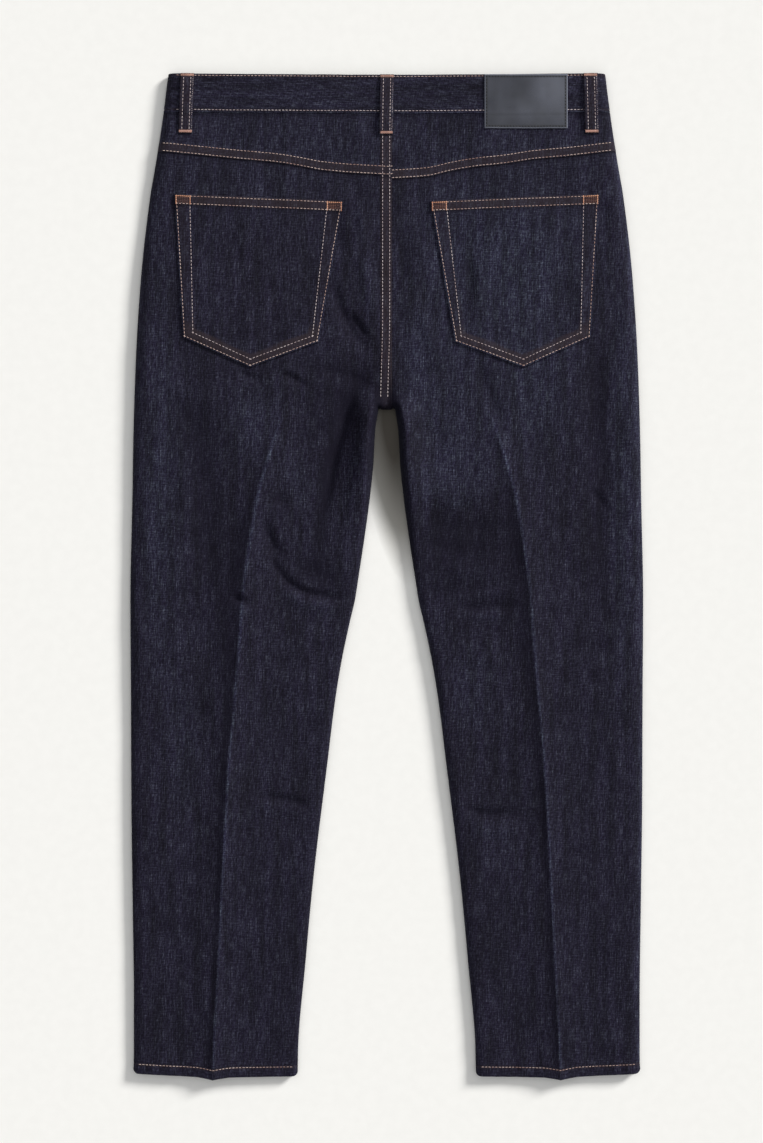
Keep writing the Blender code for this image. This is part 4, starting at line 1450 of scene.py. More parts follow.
@dataclass
class BackPanel(Piece):
    """A back panel from the yoke to the hem, with its pressed crease and its folds."""

    columns_to_crease: int = 44
    columns_to_outer: int = 36
    row_step: float = 2.7
    first_row: float = 96.0
    last_row: float = 1005.0

    def seam_columns(self) -> list[float]:
        """Places of the columns that end at the crotch, by distance out from the seat seam."""
        gap, lap = JEANS.seam_gap / 2, JEANS.seat_lap
        if self.half is Half.RIGHT:
            return [lap + gap, lap + 0.9, lap + 1.8]
        left = [gap - lap, 0.6 - lap, 1.2 - lap, -2.4, -0.6, 1.2, 3.0]
        return left + [JEANS.seat_fell, 5.6, 6.4, JEANS.seat_fell_foot]

    def build(self) -> Any:
        """Builds the panel and hands it over."""
        seam = self.seam_columns()
        inwards = np.linspace(0, 1, fine(self.columns_to_crease) + 1)[1:]
        outwards = np.linspace(0, 1, fine(self.columns_to_outer) + 1)[1:]
        columns = panel_columns(seam, inwards, outwards, JEANS.inner_curl, JEANS.back_curl)
        curl = JEANS.crotch - JEANS.inner_curl * turning(fine(8) + 1)
        first, last = self.first_row, self.last_row
        upper = np.linspace(first, curl[-1], fine((curl[-1] - first) / self.row_step))
        lower = np.linspace(JEANS.crotch + 1.2, last, fine((last - JEANS.crotch) / self.row_step))
        nominal = np.unique(np.round(np.concatenate([upper, curl, lower]), 3))[:, None]
        x, down = settle(columns, self.half.value, panel_rows(nominal, JEANS.yoke_line))
        present = (nominal < JEANS.crotch + TINY) | (np.arange(x.shape[1]) >= len(seam))
        sheet = JEANS.back(x, down).raised(JEANS.seat_lift(x, down))
        on_fell = (x < JEANS.seat_lap) & (x > -JEANS.seat_fell_foot) & (down < JEANS.crotch)
        stain = 0.4 * on_fell
        # Painted shade under the yoke's lapped edge, along the left outer side away from the light, and
        # beside the crotch gap
        shade = 0.75 * bell(down - JEANS.yoke_line(x), 2.6)
        near = JEANS.outer_edge(down) - np.abs(x)
        shade = np.maximum(shade, (0.12 if self.half is Half.LEFT else 0.0) * bell(near, 14))
        inner = np.abs(x) - JEANS.inner_edge(down)
        lowest = 425 if self.half is Half.LEFT else 520
        beside_gap = ease((down - 318) / 20) * (1 - ease((down - lowest + 60) / 80))
        shade = np.maximum(shade, 0.75 * bell(inner, 5.5) * beside_gap)
        # The crease's crest is paler, partly wear and partly painted highlight; the right outer side, which
        # faces the light, has a painted highlight
        crest = bell(np.abs(x) - JEANS.crease_line(down), 0.9)
        wear_and_highlight = 0.66 * crest * ease((down - 330) / 80)
        if self.half is Half.RIGHT:
            wear_and_highlight = wear_and_highlight + 0.30 * bell(near, 5)
        # Painted shade on the crease's left flank, which faces away from the light
        past_crest = x - self.half.value * JEANS.crease_line(down)
        wide = 3.2 + 5.5 * bell(down - 540, 130)
        flank = bell(past_crest + wide + 0.6, wide) * ease((down - 340) / 120)
        shade = shade + 0.64 * flank * (0.75 + 0.25 * uneven(down / 60, down / 35, 17))
        made = add_wall(
            f"denim_back_{self.half.word}", sheet, -JEANS.cloth, 0, present=present, tone=(wear_and_highlight, stain, shade)
        )
        node = f"back_panel_{self.half.word}"
        return self.hand_over(made, node, sheet, cut_area(sheet, present), [f"front_panel_{self.half.word}"])


@dataclass
class Yoke(Piece):
    """A pointed yoke, whose lower edge laps over the back panel in a raised fell."""

    body_rows: int = 24

    def build(self) -> Any:
        """Builds the yoke and hands it over."""
        panel = BackPanel(self.half)
        inwards = np.linspace(0, 1, fine(48) + 1)[1:]
        outwards = np.linspace(0, 1, fine(64) + 1)[1:]
        columns = panel_columns(panel.seam_columns(), inwards, outwards, JEANS.inner_curl, JEANS.back_curl)
        body = np.linspace(0, 1, fine(self.body_rows))
        fell = np.array([-1.2, -0.4, 0.4, 1.4, 2.6, 4.2, 6.0, 7.4, 8.2, 8.8, 9.2, JEANS.fell_width])
        share = np.concatenate([body, np.ones(len(fell))])[:, None]
        past = np.concatenate([-2 * body, fell])[:, None]

        def rows(x: Array) -> Array:
            """Each row's distance down at x."""
            top = JEANS.back_waist(x) + JEANS.band_height + JEANS.seam_gap / 2
            fell_top = JEANS.yoke_line(x) - JEANS.seam_gap / 2 - JEANS.fell_width
            return top + (fell_top - top) * share + past

        x, down = settle(columns, self.half.value, rows)
        sheet = JEANS.back(x, down)
        edge = 0.4 * (1 - round_off((JEANS.fell_width - past) / 0.9))
        lift = np.where(share == 1, JEANS.lap_rise * ease((past + 2) / 2.4) - edge, 0)
        rope = 0.16 * uneven(x / 4.6 + down / 7, down / 9, 21) * ease(past / 3)
        sheet = sheet.raised(np.maximum(JEANS.seat_lift(x, down), (lift + rope) * sheet.lean_z))
        on_fell = ease((past + 1) / 1.5) * (share == 1)
        on_seam = (x < JEANS.seat_lap) & (x > -JEANS.seat_fell_foot)
        stain = 0.4 * np.maximum(on_fell, on_seam)
        # The fell's folded edge is paler, partly wear and partly painted highlight; painted shade lies under
        # the band
        wear_and_highlight = 0.3 * bell(past - JEANS.fell_width, 0.7)
        shade = 0.6 * bell(down - 41.5 - JEANS.back_waist(x), 2.0)
        made = add_wall(
            f"denim_yoke_{self.half.word}", sheet, -JEANS.cloth, 0, tone=(wear_and_highlight, stain, shade)
        )
        node = f"yoke_{self.half.word}"
        return self.hand_over(made, node, sheet, cut_area(sheet), [f"front_panel_{self.half.word}"])


@dataclass
class FrontPanel(Piece):
    """A front panel, which lies on the floor. The right one steps over the fly."""

    fly_step: float = 0.8
    fly_width: float = 14.0
    fly_low: float = 180.0
    first_row: float = 60.0
    last_row: float = 1005.0

    def build(self) -> Any:
        """Builds the panel and hands it over."""
        gap = JEANS.seam_gap / 2
        seam = [gap] if self.half is Half.LEFT else [gap, 2.0, 4.0, 6.0]
        curl_widths = turning(fine(8), 15)
        inwards = np.linspace(0, 1, fine(30) + 1)[1:]
        columns = panel_columns(seam, inwards, curl_widths, JEANS.front_curl, JEANS.front_curl)
        curl = JEANS.crotch - JEANS.front_curl * turning(fine(6) + 1)
        upper = np.linspace(self.first_row, curl[-1], fine(56))
        lower = np.linspace(JEANS.crotch + 1.5, self.last_row, fine(110))
        nominal = np.unique(np.round(np.concatenate([upper, curl, lower]), 3))[:, None]
        x, down = settle(columns, self.half.value, panel_rows(nominal, JEANS.scoop_line))
        present = (nominal < JEANS.crotch + TINY) | (np.arange(x.shape[1]) >= len(seam))
        sheet = JEANS.front(x, down)
        if self.half is Half.RIGHT:
            past_fly = 1 - ease(x / self.fly_width)
            past_fly = past_fly * (1 - ease((down - self.fly_low) / self.fly_width))
            sheet = replace(sheet, z=sheet.z + self.fly_step * past_fly)
        made = add_wall(f"denim_front_{self.half.word}", sheet, -JEANS.cloth, 0, present=present)
        node = f"front_panel_{self.half.word}"
        return self.hand_over(made, node, sheet, cut_area(sheet, present), ["floor"])


@dataclass
class PocketFacing(Piece):
    """The facing in a front pocket's opening, which dives behind the front panel's edge."""

    tuck: float = 10.0
    dive: float = 14.0
    clear: float = 4.0

    def build(self) -> Any:
        """Builds the facing and hands it over."""
        start = JEANS.scoop_start
        widths = turning(fine(12), 15)
        curls = np.cos(np.radians(np.linspace(90, 0, fine(6) + 1)))[1:]
        found = [(start - self.tuck, 0), (start - self.tuck / 2, 0), (start, 0)]
        found += [(start * (1 - t) - JEANS.front_curl * t, t) for t in widths]
        found += [(-JEANS.front_curl * (1 - c), 1) for c in curls]
        plus, outer = np.array(found).T
        nothing = np.zeros(len(plus))
        columns = Columns(plus, nothing, nothing, outer)
        share = np.linspace(0, 1, fine(24))[:, None]

        def rows(x: Array) -> Array:
            """Each row's distance down at x."""
            top = JEANS.front_waist(x) + JEANS.band_height + JEANS.seam_gap / 2
            return top + (JEANS.scoop_line(x) + self.tuck - top) * share

        x, down = settle(columns, self.half.value, rows)
        sheet = JEANS.front(x, down)
        dive = ease((down - JEANS.scoop_line(x) + self.dive + self.clear) / self.dive)
        sheet = sheet.raised(-(JEANS.cloth + JEANS.seam_gap) * dive)
        made = add_wall(f"denim_facing_{self.half.word}", sheet, -JEANS.cloth, 0)
        node = f"pocket_facing_{self.half.word}"
        return self.hand_over(made, node, sheet, cut_area(sheet), ["floor"])


@dataclass
class Waistband(Piece):
    """The band, from its left end at the fly, round the back, to its end under the left one."""

    end: float = 2.0
    climb: float = 15.0
    top_row: float = 1.9
    low_row: float = 37.0

    def build(self, sewing: StitchTree) -> Any:
        """Builds the band with its two rows of sewing and hands it over."""
        curls = turning(fine(8) + 1)
        left = np.linspace(-self.end, 200, fine(60))
        back = np.linspace(-206, 206, fine(190))
        right = np.concatenate([np.linspace(200, 20, fine(54)), np.linspace(17.3, -35, fine(24))])
        found = [(True, -1, place, 0) for place in left]
        found += [(True, -1, -JEANS.front_curl * c, 1) for c in curls[::-1]]
        found += [(False, -1, -JEANS.back_curl * c, 1) for c in curls[1:]]
        found += [(False, 1, place, 0) for place in back]
        found += [(False, 1, -JEANS.back_curl * c, 1) for c in curls[:0:-1]]
        found += [(True, 1, -JEANS.front_curl * c, 1) for c in curls]
        found += [(True, 1, place, 0) for place in right]
        in_front, side, plus, outer = np.array(found, float).T
        in_front = in_front == 1
        low = self.low_row
        edge = np.array([0, 0.4, 0.9, self.top_row, 2.9, 4.2])
        middle = np.linspace(6.5, 33, fine(10))
        foot = np.array([low - 1.6, low - 0.8, low, low + 0.8, 38.6, 39.3, 39.7, 40])
        place = np.concatenate([edge, middle, foot])[:, None]
        down = place + 0 * plus
        for _ in range(3):
            x = side * (plus + outer * JEANS.outer_edge(down))
            down = np.where(in_front, JEANS.front_waist(x), JEANS.back_waist(x)) + place
        back_face = JEANS.back(x, down, JEANS.rim_height)
        back_face = back_face.raised(JEANS.band_proud * back_face.lean_z)
        sheet = Sheet.choose(in_front, JEANS.front(x, down, JEANS.rim_height), back_face)
        over = ease((self.end + JEANS.seam_gap + self.climb - x) / self.climb)
        over = np.where(in_front & (side > 0), over, 0) * (JEANS.band_thick + JEANS.seam_gap)
        sheet = sheet.raised(-over)
        run = np.hypot(np.diff(sheet.x, axis=1), np.diff(sheet.z, axis=1))
        along = np.concatenate([np.zeros((len(place), 1)), np.cumsum(run, axis=1)], axis=1)
        sheet = replace(sheet, across=along)
        high = self.relief(along, place)
        # Along both rows the darker seam colour is partly painted shade in their dents; the folded edges are
        # paler, partly wear and partly painted highlight
        near_row = bell(place - low, 0.9) + bell(place - self.top_row, 0.9)
        wear_and_highlight = 0.30 * bell(place - 39.7, 0.6) + 0.12 * bell(place, 0.8)
        made = add_wall(
            "denim_waistband", sheet, -JEANS.band_thick, high, tone=(wear_and_highlight, 0.30 * near_row, 0), crosswise=True
        )
        rows = [self.row(self.top_row, sewing), self.row(low, sewing)]
        for thread, name, line in zip((COPPER_THREAD, PALE_THREAD), ("top", "low"), rows):
            sewing.sew(f"sewing_band_{name}", line, LOCKSTITCH, thread)
        flat = (float(along.max()) * MM, JEANS.band_height * MM)
        area = 0.999 * flat[0] * flat[1]
        return self.hand_over(made, "waistband", sheet, area, ["floor"], flat=flat)

    def relief(self, along: Array, place: Array) -> Array:
        """The band's rounded edges, the dents of its two rows of sewing and its slight roping."""
        ends = np.minimum(place, JEANS.band_height - place)
        rounded = -0.7 * (1 - round_off(ends / 1.1))
        dents = -0.28 * bell(place - self.low_row, 1.0)
        dents = dents - 0.22 * bell(place - self.top_row, 0.9)
        rope = 0.14 * uneven(along / 5.0 + place / 6, place / 10, 31)
        slack = 0.12 * uneven(along / 17, place / 12, 33)
        return rounded + dents + (rope + slack) * ease(ends / 3)

    def row(self, place: float, sewing: StitchTree) -> list[Row]:
        """One row of sewing, round the back and along both halves of the front."""
        x = np.linspace(-214, 214, 300)
        down = JEANS.back_waist(x) + place
        z = JEANS.back(x, down, JEANS.rim_height).z + JEANS.band_proud + 0.06
        found = [Row(x, down, z, 1.0)]
        for x in (np.linspace(-1, -216, 120), np.linspace(216, 20, 110)):
            down = JEANS.front_waist(x) + place
            found.append(Row(x, down, JEANS.front(x, down, JEANS.rim_height).z - 0.02, -1.0))
        return found


@dataclass
class Hem(Piece):
    """The turned hem of one leg, a ring that stands a little proud of the back panel."""

    thick: float = 2.6
    proud: float = 0.5
    corner: float = 5.0
    row_up: float = 10.0

    def build(self, sewing: StitchTree) -> Any:
        """Builds the hem with its row of sewing and hands it over."""
        inwards = np.linspace(0, 1, fine(44) + 1)[1:]
        outwards = np.linspace(0, 1, fine(44) + 1)[1:]
        back = panel_columns((), inwards, outwards, JEANS.inner_curl, JEANS.back_curl)
        front = panel_columns((), inwards[::2], outwards[::2], JEANS.front_curl, JEANS.front_curl)
        columns = Columns(*(np.concatenate([a, b[-2::-1]]) for a, b in zip(back, front)))
        in_front = np.arange(len(columns.plus)) >= len(back.plus)
        height = JEANS.hem_height
        place = np.array([0, 0.5, 1.0, 1.5, 2.2, 3.4, 5.0, 6.6, 8.2, 9.4, 10.3, 10.9, 11.3, height])[:, None]
        share = place / height

        def rows(x: Array) -> Array:
            """Each row's distance down at x."""
            return JEANS.hem_line(x) - height * (1 - share)

        x, down = settle(columns, self.half.value, rows)
        in_front = np.broadcast_to(in_front, x.shape)
        near = np.minimum(JEANS.outer_edge(down) - np.abs(x), np.abs(x) - JEANS.inner_edge(down))
        corner = self.corner * (1 - round_off(near / self.corner)) * share**2
        back_face = JEANS.back(x, down, JEANS.rim_height)
        back_face = back_face.raised(self.proud * ease(share / 0.12) * back_face.lean_z)
        sheet = Sheet.choose(in_front, JEANS.front(x, down, JEANS.rim_height), back_face)
        sheet = replace(sheet, down=sheet.down - corner)
        run = np.hypot(np.diff(sheet.x, axis=1), np.diff(sheet.z, axis=1))
        along = np.concatenate([np.zeros((len(place), 1)), np.cumsum(run, axis=1)], axis=1)
        sheet = replace(sheet, across=along)
        twist = uneven(along / 4.4 + place / 5.0, place / 14, 41)
        twist = twist * ease(place / 2) * ease((height - place) / 2)
        high = 0.2 * twist * np.where(in_front, 0, 1)
        high = high - 0.75 * (1 - round_off((height - place) / 1.3)) - 0.3 * (1 - round_off(place / 0.8))
        high = high - 0.2 * bell(place - (height - self.row_up), 0.9)
        low = -self.thick + 0.75 * (1 - round_off((height - place) / 1.3))
        # The two ends of the ring lie on each other, so the unevenness is faded out there.
        seam = np.minimum(along, along.max() - along)
        high = np.where(seam < 6, high * (seam / 6), high)
        # The hem's folded top edge is paler, partly wear and partly painted highlight; the darker seam
        # colour along its row of sewing is partly painted shade
        wear_and_highlight = 0.22 * bell(place - height, 0.7)
        stain = 0.35 * bell(place - (height - self.row_up), 1.5)
        made = add_wall(
            f"denim_hem_{self.half.word}", sheet, low, high, ring=True, tone=(wear_and_highlight, stain, 0)
        )
        self.sew(sewing)
        flat = (float(along.max()) * MM, height * MM)
        node = f"hem_{self.half.word}"
        return self.hand_over(made, node, sheet, 0.99 * flat[0] * flat[1], ["floor"], flat=flat)

    def sew(self, sewing: StitchTree) -> None:
        """The hem's row of sewing, on the back and on the front."""
        side = self.half.value
        found = []
        for out, inset in ((1.0, 7.0), (-1.0, 5.0)):
            across = np.linspace(JEANS.inner_edge(1018) + inset, JEANS.outer_edge(1018) - inset, 120)
            x = side * across
            down = JEANS.hem_line(x) - self.row_up
            if out > 0:
                z = JEANS.back(x, down, JEANS.rim_height).z + self.proud + 0.05
            else:
                z = JEANS.front(x, down, JEANS.rim_height).z - 0.02
            found.append(Row(x, down, z, out))
        sewing.sew(f"sewing_hem_{self.half.word}", found, HEM_STITCH, COPPER_THREAD)


def between(start: Any, end: Any, share: Any) -> Any:
    """The place at a share of the way from start to end."""
    return start + (end - start) * share


def close_to_edges(width: float, count: int) -> Array:
    """Shares of a width that lie close together at both of its edges."""
    near = np.array([0, 0.3, 0.7, 1.2, 1.9, 2.8, 4.0]) / width
    inside = np.linspace(near[-1], 1 - near[-1], fine(count) + 1)[1:-1]
    return np.concatenate([near, inside, 1 - near[::-1]])


@dataclass
class BackPocket(Piece):
    """A patch pocket with five corners, a hemmed top and a margin turned under all round."""

    thick: float = 1.4
    hem: float = 10.5
    hem_rise: float = 0.6
    margin: float = 12.0
    margin_rise: float = 0.35

    def corners(self) -> list[tuple[float, float]]:
        """The five corners, with x positive on the right pocket."""
        found = (TOP_INNER, LOW_INNER, LOW_POINT, LOW_OUTER, TOP_OUTER)
        return [(self.half.value * corner.across, corner.down) for corner in found]

    def inside(self, x: Array, down: Array) -> tuple[Array, Array]:
        """Distances in from the sides and the bottom, and down from the top edge.

        Args:
            x: Places across.
            down: Places down.

        Returns:
            The two distances in mm.
        """
        points = self.corners()
        found = []
        for (x0, d0), (x1, d1) in zip(points, points[1:]):
            length = math.hypot(x1 - x0, d1 - d0)
            away = ((x - x0) * (d1 - d0) - (down - d0) * (x1 - x0)) / length
            found.append(away * self.half.value)
        (x0, d0), (x1, d1) = points[-1], points[0]
        top = (down - d0) - (x - x0) * (d1 - d0) / (x1 - x0)
        return np.minimum.reduce(found), top

    def height(self, x: Array, down: Array) -> Array:
        """Height of the pocket's outer side above the back's surface."""
        side, top = self.inside(x, down)
        margin = self.margin_rise * (1 - ease((side - self.margin) / 2))
        hem = self.hem_rise * (1 - ease((top - self.hem) / 0.8))
        rounded = 0.8 * (1 - round_off(np.minimum(side, top) / 1.1))
        rope = 0.14 * uneven((x + down) / 5, (x - down) / 5, 51) * (1 - ease((side - 12) / 4))
        dents = 0.22 * bell(side - 2.1, 0.8) + 0.2 * bell(top - 1.6, 0.7)
        body = 0.25 * uneven(x / 26, down / 34, 53) + 0.12 * uneven(x / 9, down / 15, 55)
        bagged = 0.5 * ease((side - 14) / 30)
        raised = JEANS.seam_gap + self.thick + margin + hem + bagged + (rope + body) * ease(side / 5)
        return raised - rounded - dents

    def build(self, sewing: StitchTree) -> Any:
        """Builds the pocket with its sewing and hands it over."""
        across = close_to_edges(170, 74)[None, :]
        point = 0.5
        to_point = np.clip(across / point, 0, 1)
        past_point = np.clip((across - point) / (1 - point), 0, 1)

        def low(axis: str) -> Array:
            """The pocket's lower edge."""
            first, middle, last = (getattr(corner, axis) for corner in (LOW_INNER, LOW_POINT, LOW_OUTER))
            return first + (middle - first) * to_point + (last - middle) * past_point

        depth = LOW_INNER.down - TOP_INNER.down
        hem = np.array([0, 0.3, 0.7, 1.2, 1.9, 2.8, 4.2, 6.5, 8.8, 10.0, 10.6, 11.2, 11.8]) / depth
        rest = np.linspace(hem[-1], 1 - 4.0 / depth, fine(62))[1:]
        foot = 1 - np.array([2.8, 1.9, 1.2, 0.7, 0.3, 0]) / depth
        share = np.concatenate([hem, rest, foot])[:, None]
        x = between(between(TOP_INNER.across, TOP_OUTER.across, across), low("across"), share)
        down = between(between(TOP_INNER.down, TOP_OUTER.down, across), low("down"), share)
        x = self.half.value * x
        sheet = JEANS.back(x, down)
        side, top = self.inside(x, down)
        # The pocket's folded edges are paler, partly wear and partly painted highlight; painted shade lies
        # just under the hem
        wear_and_highlight = 0.34 * bell(np.minimum(side, top), 0.8)
        margin = ease((side - 1.6) / 1.0) * (1 - ease((side - self.margin) / 1.5))
        margin = margin * (0.12 + 0.42 * ease((share - 0.84) / 0.08))
        stain = 0.42 * (1 - ease((top - self.hem) / 0.8)) + margin
        shade = 0.35 * bell(top - self.hem - 1.4, 1.0)
        made = add_wall(
            f"denim_pocket_{self.half.word}", sheet, JEANS.seam_gap, self.height(x, down),
            tone=(wear_and_highlight, np.minimum(stain, 0.55), shade),
        )
        self.sew(sewing)
        node = f"back_pocket_{self.half.word}"
        return self.hand_over(made, node, sheet, cut_area(sheet), [f"back_panel_{self.half.word}"])

    def line(self, start: tuple[float, float], end: tuple[float, float], lift: float = 0.1) -> Row:
        """A straight row between two places given by distance from the seat seam and down."""
        count = max(8, int(math.dist(start, end) / 1.5))
        x = self.half.value * np.linspace(start[0], end[0], count)
        down = np.linspace(start[1], end[1], count)
        z = JEANS.back(x, down).z + self.height(x, down) + lift
        return Row(x, down, z, 1.0)

    def sew(self, sewing: StitchTree) -> None:
        """The double row round the pocket, the rows of its hem and the bars in its corners."""
        outer = [(46.9, 133.5), (71.4, 273.9), (139.8, 299.0), (206.7, 269.2), (215.2, 126.0)]
        inner = [(60.6, 132.5), (76.0, 269.1), (139.6, 292.7), (198.2, 265.6), (201.4, 127.0)]
        for name, way in (("outer", outer), ("inner", inner)):
            rows = [self.line(a, b) for a, b in zip(way, way[1:])]
            thread = PALE_THREAD if name == "inner" else COPPER_THREAD
            sewing.sew(f"sewing_pocket_{name}_{self.half.word}", rows, LOCKSTITCH, thread)
        slope = (TOP_OUTER.down - TOP_INNER.down) / (TOP_OUTER.across - TOP_INNER.across)

        def at(across: float, below: float) -> tuple[float, float]:
            """A place at a distance below the top edge."""
            return across, TOP_INNER.down + slope * (across - TOP_INNER.across) + below

        hem_rows = [self.line(at(62, 1.8), at(200, 1.8)), self.line(at(47.5, 9.6), at(215, 9.6))]
        sewing.sew(f"sewing_pocket_hem_{self.half.word}", hem_rows, LOCKSTITCH, COPPER_THREAD)
        bars = []
        for first, last in ((46.6, 60.8), (201.0, 215.4)):
            bars += [self.line(at(first, 1.9), at(last, 1.9), 0.25)]
            bars += [self.line(at(place, 1.9), at(place, 9.6), 0.2) for place in (first, last)]
        sewing.sew(f"sewing_pocket_bars_{self.half.word}", bars, BAR_ROW, ORANGE_THREAD)
        ends, levels = ((47.4, 60.0), (201.8, 214.6)), (3.6, 5.2, 6.8, 8.3)
        filled = [self.line(at(a, below), at(b, below), 0.12) for a, b in ends for below in levels]
        sewing.sew(f"sewing_pocket_fill_{self.half.word}", filled, FILL_ROW, RUST_THREAD)


class LoopPlace(NamedTuple):
    """A belt loop of the back: its centre at the waist's top line and at its lower end."""

    name: str
    top_x: float
    low_x: float


BACK_LOOPS = (
    LoopPlace("loop_back_centre", 0.3, -0.8),
    LoopPlace("loop_back_left", -203.8, -206.0),
    LoopPlace("loop_back_right", 208.2, 209.8),
)


@dataclass
class BeltLoop(Piece):
    """A belt loop over the band, folded in three, fixed at both ends and arched between them."""

    place: LoopPlace = BACK_LOOPS[0]
    arch: float = 1.4

    def build(self, sewing: StitchTree) -> Any:
        """Builds the loop with its sewing and hands it over."""
        share = close_to_edges(JEANS.loop_length, 46)[:, None]
        across = both_ways(0.1, 0.2, 0.27, 0.36, 0.43, 0.475, 0.5)
        x, down = self.points(share, across * JEANS.loop_width)
        base = JEANS.back(x, np.maximum(down, 0))
        base = replace(base, down=down, across=x)
        low = self.underside(x, down, share)
        side = (0.5 - np.abs(across)) * JEANS.loop_width
        end = np.minimum(share, 1 - share) * JEANS.loop_length
        rounded = 0.7 * (1 - round_off(side / 1.0)) + 0.4 * (1 - round_off(end / 0.7))
        dents = 0.25 * bell((np.abs(across) - 0.27) * JEANS.loop_width, 0.8)
        rope = 0.10 * uneven(x / 3 + down / 4, down / 5, 61)
        high = low + JEANS.loop_thick - rounded - dents + rope * ease(side / 1.5)
        # Frayed threads along one edge, and the loop's sides paler, partly wear and partly painted highlight
        frayed = bell(across - 0.43, 0.05) * (0.35 + 0.3 * uneven(x / 2, down / 1.8, 63))
        wear_and_highlight = np.clip(frayed, 0, 1) + 0.15 * bell(side, 0.6)
        made = add_wall(f"denim_{self.place.name}", base, low, high, tone=(wear_and_highlight, 0.26, 0))
        self.sew(sewing)
        area = 0.99 * JEANS.loop_width * JEANS.loop_length * MM * MM
        flat = (JEANS.loop_width * MM, JEANS.loop_length * MM)
        return self.hand_over(made, self.place.name, base, area, ["waistband"], flat=flat)

    def points(self, share: Array, across: Array) -> Points:
        """x and down at shares of the loop's length and distances from its centre line."""
        x = between(self.place.top_x, self.place.low_x, share) + across
        return x, JEANS.back_waist(x) + JEANS.loop_length * share

    def underside(self, x: Array, down: Array, share: Array) -> Array:
        """Height of the loop's underside above the back's surface."""
        height = JEANS.above_back(x, down).max(axis=1, keepdims=True)
        return height + JEANS.seam_gap + self.arch * ease(share / 0.2) * ease((1 - share) / 0.2)

    def row(self, share: Array, across: Any, lift: float) -> Row:
        """A row of sewing at shares of the loop's length and distances from its centre line."""
        x, down = self.points(share, np.reshape(across, (-1, 1)))
        z = JEANS.back(x, down).z + self.underside(x, down, share) + JEANS.loop_thick + lift
        return Row(x[:, 0], down[:, 0], z[:, 0], 1.0)

    def sew(self, sewing: StitchTree) -> None:
        """The two rows down the loop, its frayed edge and the bars across its ends."""
        share = np.linspace(0.03, 0.97, 40)[:, None]
        rows = [self.row(share, place, -0.1) for place in (-3.7, 3.7)]
        sewing.sew(f"sewing_{self.place.name}", rows, LOCKSTITCH, PALE_THREAD)
        edge = self.row(share, 5.7, -0.25)
        edge = edge._replace(x=edge.x + 0.5 * uneven(edge.down / 4, edge.down / 9, 65))
        sewing.sew(f"sewing_frayed_{self.place.name}", [edge], FRAYED, PALE_THREAD)
        across = np.linspace(-6.3, 6.3, 12)
        bars = [self.row(np.full((12, 1), place), across, 0.05) for place in (0.03, 0.966)]
        sewing.sew(f"sewing_bars_{self.place.name}", bars, SATIN, PEACH_THREAD)


@dataclass
class FrontLoop(Piece):
    """A belt loop of the front, pressed flat between the band and the floor."""

    def build(self, sewing: StitchTree) -> Any:
        """Builds the loop with its sewing and hands it over."""
        share = close_to_edges(JEANS.loop_length, 24)[:, None]
        across = both_ways(0.14, 0.27, 0.38, 0.46, 0.5)
        x = self.half.value * (JEANS.loop_front_x + across * JEANS.loop_width) + 0 * share
        down = JEANS.front_waist(x) + JEANS.loop_length * share
        flat = np.zeros(x.shape)
        sheet = Sheet(x, down, flat, flat, flat, flat - 1, x, flat)
        side = (0.5 - np.abs(across)) * JEANS.loop_width
        high = -0.5 * (1 - round_off(side / 1.0)) + 0 * x
        name = f"loop_front_{self.half.word}"
        made = add_wall(f"denim_{name}", sheet, -JEANS.loop_thick, high, tone=(0, 0.55, 0))
        rows = []
        for place in (-3.7, 3.7):
            line = self.half.value * JEANS.loop_front_x + place + np.zeros(30)
            below = JEANS.front_waist(line) + JEANS.loop_length * np.linspace(0.04, 0.96, 30)
            rows.append(Row(line, below, np.full(30, 0.3), -1.0))
        sewing.sew(f"sewing_{name}", rows, LOCKSTITCH, PALE_THREAD)
        area = 0.99 * JEANS.loop_width * JEANS.loop_length * MM * MM
        size = (JEANS.loop_width * MM, JEANS.loop_length * MM)
        return self.hand_over(made, name, sheet, area, ["floor"], flat=size)


